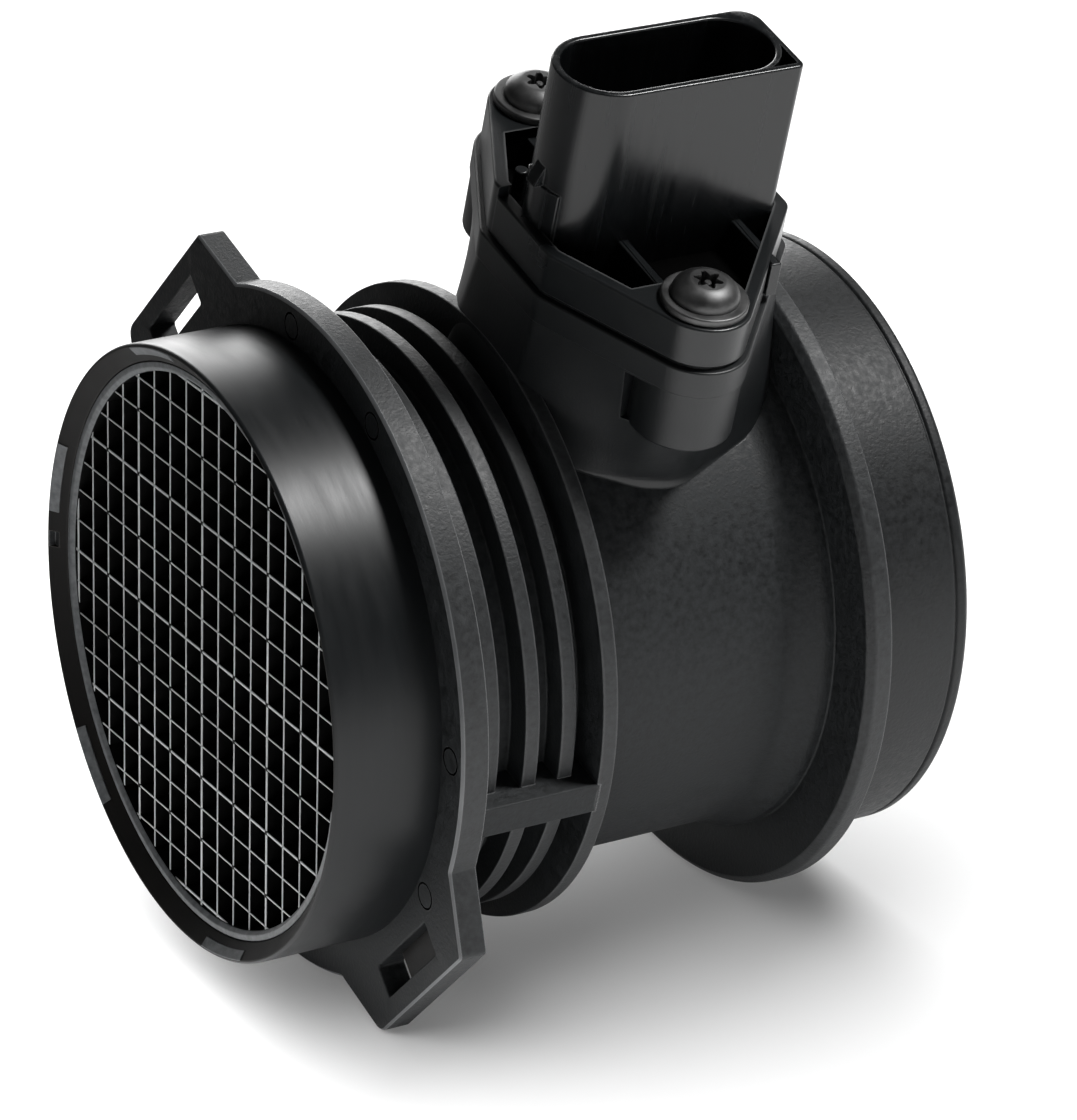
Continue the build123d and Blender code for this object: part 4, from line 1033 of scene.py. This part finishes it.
@dataclass
class PlugInSensor:
    """The sensor's flange and connector shroud, above the finger."""

    finishes: dict[str, bpy.types.Material]
    node: bpy.types.Object | None = None
    plan: SensorPlan = field(default_factory=SensorPlan)
    points: int = 480
    base_z: float = 58.5
    top_z: float = 65.0
    foot: tuple[float, float] = (-0.3, 0.6)
    rim: float = 2.0
    recess_z: float = 60.2
    recess_half: float = 18.2
    recess_edge: float = 0.3
    boss_r: float = 5.7
    ribs: tuple[float, float] = (54.6, 72.7)
    rib_t: float = 1.6
    rib_drop: float = 0.2
    rear_step: tuple[float, float] = (1.6, 6.5)
    peg: tuple[float, float, float] = (49.2, 11.6, 1.0)
    shroud: tuple[float, float, float, float] = (44.2, 79.0, 7.6, 89.0)
    corners: tuple[float, float] = (3.5, 1.2)
    walls: tuple[float, float] = (1.2, 1.6)
    socket_z: float = 64.0
    pocket: tuple[float, float] = (8.0, 0.9)
    pad: tuple[float, float, float] = (0.35, 4.2, 71.5)
    ramp: tuple[float, float, float, float] = (71.4, 74.4, 1.1, 1.4)
    edge: float = 0.4

    def flange(self, shell: Shell, z1: float) -> None:
        """Six-sided flange: undercut foot, wall, rounded rim and the recess inside it, whose walls and floor
        are painted shade.
        """
        hull = self.plan.hull()
        grow, tall = self.foot
        inset, rise = edge_steps(self.edge, 4)
        z0 = self.base_z
        offsets = np.r_[grow, grow, -0.15, 0.0, -inset]
        heights = np.r_[z0, z0 + tall - 0.2, z0 + tall - 0.15, z0 + tall, z1 - self.edge + rise]
        outer = np.stack([resampled(hull.ring(o), self.points) for o in offsets])
        e = self.recess_edge
        inset, rise = edge_steps(e, 3)
        outward = np.r_[e - inset[::-1], 0.0]
        drop = np.r_[z1 - e + rise[::-1], self.recess_z]
        loop = self.recess_loop()
        inner = loop + loop_normals(loop) * outward[:, None, None]
        rows = np.concatenate([stacked(outer, heights, UPRIGHT), stacked(inner, drop, UPRIGHT)])
        shell.grid(rows)
        # The recess walls and floor take the near-black finish: painted shade.
        walls = np.arange(len(rows) - 1) >= len(heights) + len(drop) - 2
        shell.finishes[-1] = np.r_[np.repeat(walls.astype(int), rows.shape[1]), 0, 1]

    def recess_loop(self) -> Array:
        """Outline of the recess: inside the rim, clear of the screws, and round their right sides."""
        loop = resampled(self.plan.hull().ring(-self.rim), self.points)
        x = loop[:, 0] - self.plan.screw[0]
        round_screw = self.plan.screw[1] - np.sqrt(np.maximum(self.boss_r ** 2 - x ** 2, 0))
        limit = np.where(x > 0, np.maximum(round_screw, self.recess_half), self.recess_half)
        limit = np.where(x > self.boss_r, np.inf, limit)
        loop[:, 1] = np.clip(loop[:, 1], -limit, limit)
        return loop

    def recess_details(self, shell: Shell) -> None:
        """Two ribs across the recess and a small peg."""
        e = 0.25
        for x in self.ribs:
            half = self.rib_t / 2
            rib = Hull(tuple((x + i * (half - 0.1), j * (self.recess_half + 0.4), 0.1)
                             for i in (-1, 1) for j in (-1, 1)))
            rings, heights = raised_hull(rib, self.recess_z - 0.5, self.top_z - self.rib_drop, 0.05, e, 0, 48)
            shell.grid(stacked(rings, heights, UPRIGHT))
        x, y, r = self.peg
        rings, heights = raised_hull(Hull(((x, y, r),)), self.recess_z - 0.5, self.top_z, 0.05, 0.3, 0, 48)
        shell.grid(stacked(rings, heights, UPRIGHT))

    def shroud_hull(self) -> Hull:
        """Outline of the shroud: one round end, a soft back corner and a keyed front corner."""
        left, right, half, _ = self.shroud
        back, key = self.corners
        return Hull(((left + half, 0.0, half), (right - back, half - back, back),
                     (right - key, key - half, key)))

    def socket_hull(self) -> Hull:
        """Outline of the connector's opening."""
        left, right, half, _ = self.shroud
        radius = half - self.walls[0]
        return Hull(((left + half, 0.0, radius), (right - self.walls[1] - radius, 0.0, radius)))

    def pocket_loop(self) -> Array:
        """Three-cornered loop between the socket's end and the keyed corner."""
        _, right, half, _ = self.shroud
        radius = half - self.walls[0] + self.pocket[1]
        middle = right - self.walls[1] - half + self.walls[0]
        x1, y1 = right - self.pocket[1], -(half - self.pocket[1])
        start = math.acos((x1 - middle) / radius)
        end = math.asin(-y1 / radius)
        arc = -np.linspace(start, end, 9)
        curve = np.array([middle, 0]) + unit(arc) * radius
        loop = np.vstack([curve, [(x1, y1)]])
        return rounded(loop, 0.35, 3)[::-1]

    def connector(self, shell: Shell) -> None:
        """Shroud walls, socket, keyed pocket, top face, pad and lock ramp."""
        top, e = self.shroud[3], 0.35
        hull, socket = self.shroud_hull(), self.socket_hull()
        inset, rise = edge_steps(e, 3)
        offsets, heights = np.r_[0.0, -inset], np.r_[self.recess_z - 0.5, top - e + rise]
        outer = np.stack([hull.ring(o) for o in offsets])
        shell.grid(stacked(outer, heights, UPRIGHT), caps=False)
        shell.sheet([outer[0]], UPRIGHT, self.recess_z - 0.5)
        inner_off = np.r_[inset[::-1], 0.0]
        inner_z = np.r_[top - e + rise[::-1], self.socket_z]
        inner = np.stack([socket.ring(o) for o in inner_off])
        shell.grid(stacked(inner, inner_z, UPRIGHT), caps=False)
        shell.sheet([inner[-1]], UPRIGHT, self.socket_z)
        pocket = self.pocket_loop()
        small = np.stack([pocket, pocket])
        floor = top - self.pocket[0]
        shell.grid(stacked(small, [top, floor], UPRIGHT), caps=False)
        shell.sheet([pocket], UPRIGHT, floor)
        shell.sheet([outer[-1], inner[0], pocket], UPRIGHT, top)
        proud, half, high = self.pad
        left, _, round_r, _ = self.shroud
        reach = round_r + proud
        turn = math.asin(half / reach)
        arc = unit(np.linspace(math.pi - turn, math.pi + turn, 25)) * reach + (left + round_r, 0)
        back_x = left + round_r - reach * math.cos(turn) + 2.5
        loop = np.vstack([arc, [(back_x, -half), (back_x, half)]])
        loop = rounded(loop, np.r_[0.25, np.zeros(23), 0.25, 0.0, 0.0])
        inset, rise = edge_steps(0.25, 3)
        shrink = np.stack([loop - loop_normals(loop) * o for o in np.r_[0.0, inset]])
        shell.grid(stacked(shrink, np.r_[self.recess_z - 0.5, high - 0.25 + rise], UPRIGHT))
        low, up, half, out = self.ramp
        edge = self.shroud[0]
        wedge = rounded(np.array([(edge + 1, low), (edge - out, low), (edge, up), (edge + 1, up)]), 0.2)
        sides = [np.stack([wedge[:, 0], np.full(len(wedge), y), wedge[:, 1]], -1) for y in (-half, half)]
        shell.grid(np.stack(sides))

    def finger(self) -> bpy.types.Object:
        """Finger below the flange: the node's own faces up to the tower's top, closed there."""
        copy = bpy.data.objects.new("measuring_finger", self.node.data.copy())
        bpy.context.scene.collection.objects.link(copy)
        work = bmesh.new()
        work.from_mesh(copy.data)
        bmesh.ops.remove_doubles(work, verts=work.verts, dist=2e-6)
        limit = (self.base_z - 0.01) * MM
        cutaway = bmesh.ops.bisect_plane(work, geom=work.verts[:] + work.edges[:] + work.faces[:],
                                         plane_co=(0, 0, limit), plane_no=(0, 0, 1), clear_outer=True)
        rim = [e for e in cutaway["geom_cut"] if isinstance(e, bmesh.types.BMEdge)]
        bmesh.ops.holes_fill(work, edges=rim, sides=0)
        work.to_mesh(copy.data)
        work.free()
        copy.data.materials.clear()
        copy.data.materials.append(self.finishes["inner"])
        soften(copy, 30)
        return copy

    def build(self) -> bpy.types.Object:
        """Build the flange, connector and finger."""
        # The second finish is painted shade for the recess.
        looks = [self.finishes["head"], self.finishes["dark"]]
        raised, step_y = self.rear_step
        halves = []
        for name, high, cut_from, cut_to in (("sensor_flange", self.top_z, step_y, 40.0),
                                             ("sensor_flange_rear", self.top_z + raised, -40.0, step_y)):
            base, cutter = Shell(), Shell()
            self.flange(base, high)
            half = base.piece(name, looks)
            side = np.array([(30.0, cut_from), (95.0, cut_from), (95.0, cut_to), (30.0, cut_to)])
            cutter.grid(stacked(np.stack([side, side]), [self.base_z - 1, high + 1], UPRIGHT))
            cut(half, [cutter.tool("half_cutter")])
            soften(half)
            halves.append(half)
        details = Shell()
        self.recess_details(details)
        halves.append(details.piece("recess_ribs", looks))
        top = Shell()
        self.connector(top)
        connector = top.piece("connector_shroud", [self.finishes["shroud"]])
        for piece in (*halves, connector, self.finger()):
            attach(piece, "root")
            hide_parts("sensor_body")
        return connector


@dataclass
class FlangeScrews:
    """Washer-head screws with a six-lobed socket and a centre pin."""

    finishes: dict[str, bpy.types.Material]
    plan: SensorPlan = field(default_factory=SensorPlan)
    segments: int = 96
    seats: tuple[float, float] = (65.0, 66.6)
    turns: tuple[float, float] = (0.35, 0.1)
    washer: tuple[float, float] = (6.1, 1.1)
    head: tuple[float, float, float] = (4.8, 2.6, 2.6)
    socket: tuple[float, float, float] = (1.6, 0.42, 1.8)
    pin_r: float = 0.55
    shank: tuple[float, float, float] = (2.0, 14.5, 0.5)

    def rows(self) -> Array:
        """Rings from the shank's tip round the head into the socket: radius as a function of turn."""
        wr, wt = self.washer
        hr, tr, hh = self.head
        sr, length, tip = self.shank
        t = np.linspace(0, 1, 9)
        crown = np.stack([hr * (1 - t) ** 2 + 2 * t * (1 - t) * hr + t ** 2 * tr,
                          wt + hh * (1.4 * t * (1 - t) + t ** 2)], -1)
        seat = np.array([(sr, 0.0), (wr, 0.0), (wr, wt), (hr + 0.35, wt)])
        body = rounded(seat, [0, 0.15, 0.3, 0], 3, False)
        start = np.array([(0.01, -length), (sr - tip, -length), (sr, tip - length)])
        profile = np.vstack([start, body, crown, [(tr - 0.2, wt + hh)]])
        count = self.segments
        angles = np.arange(count) / count * TURN
        radius = np.broadcast_to(profile[:, :1], (len(profile), count))
        heights = np.broadcast_to(profile[:, 1:], radius.shape)
        mean, lobe, deep = self.socket
        lobed = mean + lobe * np.cos(6 * angles)
        top = wt + hh
        pin_radii = (self.pin_r, self.pin_r, self.pin_r - 0.15, 0.01)
        in_r = np.stack([lobed + 0.12, lobed, lobed] + [np.full(count, r) for r in pin_radii])
        low = top - deep
        in_z = np.array([top, top - 0.12, low, low, top - 0.5, top - 0.35, top - 0.35])
        in_z = np.broadcast_to(in_z[:, None], in_r.shape)
        radius, heights = np.vstack([radius, in_r]), np.vstack([heights, in_z])
        return np.stack([radius * np.cos(angles), radius * np.sin(angles), heights], -1)

    def build(self) -> bpy.types.Object:
        """Build both screws."""
        shell = Shell()
        rows = self.rows()
        for (x, y), turn, seat in zip(self.plan.screws(), self.turns, self.seats):
            cos, sin = math.cos(turn), math.sin(turn)
            placed = rows @ np.array([[cos, sin, 0], [-sin, cos, 0], [0, 0, 1]]) + (x, y, seat)
            shell.grid(placed)
        piece = shell.piece("washer_head_screws", [self.finishes["screw"]])
        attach(piece, "root")
        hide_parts("flange_screws")
        return piece


# ---------------------------------------------------------------- inner pieces, stage and camera


@dataclass
class InnerPieces:
    """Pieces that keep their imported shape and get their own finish."""

    finishes: dict[str, bpy.types.Material]
    nodes: dict[str, bpy.types.Object]

    def build(self) -> None:
        """Give each node its finish."""
        chosen = {"threaded_inserts": "brass", "seal_ring": "rubber", "electronics_cover": "inner",
                  "bypass_cover": "inner", "carrier_plate": "plate", "circuit_board": "ceramic",
                  "board_components": "chip", "bond_wires": "gold", "chip_holder": "inner",
                  "sensor_chip": "chip", "temperature_bead": "glass", "temperature_leads": "tin"}
        chosen |= {f"contact_pin_{k}": "tin" for k in range(1, 6)}
        for name, finish in chosen.items():
            node = self.nodes[name]
            node.data.materials.clear()
            node.data.materials.append(self.finishes[finish])
            LOG.info("%s dressed in %s", name, finish)


@dataclass(frozen=True)
class SoftLamp:
    """A square lamp, placed by the picture's right, up and towards the camera."""

    name: str
    aim: tuple[float, float, float]
    distance: float
    size: float
    power: float
    for_floor: bool = False


@dataclass
class Studio:
    """White floor, soft lamps and the camera of the photograph."""

    up: tuple[float, float, float] = (0.0, math.sin(math.radians(14.2)), math.cos(math.radians(14.2)))
    drop: float = 50.0
    eye: tuple[float, float, float] = (-332.5425, -542.1590, 497.5390)
    right: tuple[float, float, float] = (0.864092, -0.478994, 0.154631)
    down: tuple[float, float, float] = (-0.183990, -0.586539, -0.788745)
    forward: tuple[float, float, float] = (0.468501, 0.653098, -0.594954)
    lens: float = 193.63
    target: tuple[float, float, float] = (50.0, 0.0, 15.0)
    paper: float = 0.83
    glow: float = 0.03
    haze: float = 0.12
    surround: float = 0.05
    floor_half: float = 6.0
    kit: tuple[SoftLamp, ...] = (
        SoftLamp("key", (0.54, 0.77, 0.35), 0.95, 0.2, 8.4),
        SoftLamp("grazing", (-0.15, 0.65, -0.74), 1.0, 0.6, 8.0),
        SoftLamp("overhead", (-0.45, 0.86, 0.2), 1.5, 4.6, 190.0, for_floor=True))

    def floor(self) -> None:
        """Wide floor that looks burnt-out white, keeps the shadow and lights the low surfaces; for light it
        bounces and reflects it is painted darker behind and to the left, as painted shade on the object's
        front faces.
        """
        material = bpy.data.materials.new("studio_floor")
        material.use_nodes = True
        nodes = Nodes(material.node_tree)
        tree = material.node_tree
        tree.nodes.clear()
        path = nodes.add("ShaderNodeLightPath")
        where = nodes.add("ShaderNodeTexCoord").outputs["Object"]
        side = nodes.add("ShaderNodeVectorMath", {0: where, 1: (-1.0, 0.8, 0.0)},
                         operation="DOT_PRODUCT").outputs["Value"]
        # Darker floor behind and to the left, seen only in bounce and reflections: painted shade.
        painted_shade_behind = nodes.add("ShaderNodeMapRange", {0: side, 1: 0.04, 2: 0.1, 3: 0.95, 4: 0.12})
        shade = nodes.add("ShaderNodeMapRange", {0: path.outputs["Is Camera Ray"], 3: painted_shade_behind.outputs[0],
                                                 4: self.paper})
        paper = nodes.add("ShaderNodeBsdfDiffuse", {"Color": shade.outputs[0]})
        power = nodes.add("ShaderNodeMapRange", {0: path.outputs["Is Camera Ray"], 3: self.glow,
                                                 4: self.haze})
        glow = nodes.add("ShaderNodeEmission", {"Color": (1, 1, 1, 1), "Strength": power.outputs[0]})
        both = nodes.add("ShaderNodeAddShader", {0: paper.outputs[0], 1: glow.outputs[0]})
        out = nodes.add("ShaderNodeOutputMaterial")
        tree.links.new(both.outputs[0], out.inputs["Surface"])
        up = Vector(self.up)
        side = Vector((1, 0, 0))
        ahead = up.cross(side)
        half = self.floor_half
        corners = [side * a * half + ahead * b * half - up * self.drop * MM
                   for a, b in ((-1, -1), (1, -1), (1, 1), (-1, 1))]
        mesh = bpy.data.meshes.new("studio_floor")
        mesh.from_pydata(corners, [], [(0, 1, 2, 3)])
        mesh.materials.append(material)
        obj = bpy.data.objects.new("studio_floor", mesh)
        bpy.context.scene.collection.objects.link(obj)

    def world(self) -> None:
        """White surround, dimmer for the light that it gives."""
        world = bpy.data.worlds.new("studio_surround")
        world.use_nodes = True
        bpy.context.scene.world = world
        nodes = Nodes(world.node_tree)
        back = world.node_tree.nodes["Background"]
        path = nodes.add("ShaderNodeLightPath")
        seen = nodes.math("MAXIMUM", path.outputs["Is Camera Ray"], path.outputs["Is Transmission Ray"])
        power = nodes.add("ShaderNodeMapRange", {0: seen, 3: self.surround, 4: 1.0})
        back.inputs["Color"].default_value = (1, 1, 1, 1)
        world.node_tree.links.new(power.outputs[0], back.inputs["Strength"])

    def lamp(self, name: str, place: Vector, size: float, power: float) -> bpy.types.Object:
        """Soft square lamp that looks at the object."""
        light = bpy.data.lights.new(name, "AREA")
        light.size, light.energy = size, power
        lamp = bpy.data.objects.new(name, light)
        lamp.location = place
        target = Vector(self.target) * MM
        lamp.rotation_euler = (target - place).to_track_quat("-Z", "Y").to_euler()
        bpy.context.scene.collection.objects.link(lamp)
        return lamp

    def lights_only(self, lamp: bpy.types.Object, floor: bool) -> None:
        """Let a lamp light either the floor or the object, so that one soft shadow is thrown."""
        lit = bpy.data.collections.new(lamp.name + "_lit")
        for obj in bpy.context.scene.objects:
            if obj.type == "MESH" and (obj.name == "studio_floor") == floor:
                lit.objects.link(obj)
        lamp.light_linking.receiver_collection = lit

    def lamps(self) -> None:
        right, up, near = Vector(self.right), -Vector(self.down), -Vector(self.forward)
        centre = Vector(self.target) * MM
        for entry in self.kit:
            sideways, upwards, nearer = entry.aim
            place = centre + (right * sideways + up * upwards + near * nearer) * entry.distance
            self.lights_only(self.lamp(entry.name, place, entry.size, entry.power), entry.for_floor)

    def camera(self) -> None:
        """Camera with the photograph's place, direction and width of view."""
        data = bpy.data.cameras.new("photo_camera")
        data.sensor_fit, data.sensor_width, data.lens = "HORIZONTAL", 36.0, self.lens
        data.clip_start, data.clip_end = 0.05, 60.0
        camera = bpy.data.objects.new("photo_camera", data)
        columns = Matrix((self.right, -Vector(self.down), -Vector(self.forward))).transposed()
        camera.matrix_world = Matrix.Translation(Vector(self.eye) * MM) @ columns.to_4x4()
        bpy.context.scene.collection.objects.link(camera)
        bpy.context.scene.camera = camera

    def build(self) -> None:
        """Set the stage."""
        bpy.context.scene.view_settings.view_transform = "Standard"
        self.floor()
        self.world()
        self.lamps()
        self.camera()


def main() -> None:
    """Load the frame, build each sub-assembly and set the stage."""
    logging.basicConfig(level=logging.INFO, format="%(message)s")
    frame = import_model()
    finishes = Palette().build()
    nodes = frame["nodes"]
    for maker in (MeasuringTube(finishes), SensorTower(finishes), FlowGrid(finishes),
                  PlugInSensor(finishes, nodes["sensor_body"]), FlangeScrews(finishes)):
        piece = maker.build()
        LOG.info("%s built with %s", type(maker).__name__, piece.name)
    InnerPieces(finishes, nodes).build()
    Studio().build()


if __name__ == "__main__":
    main()
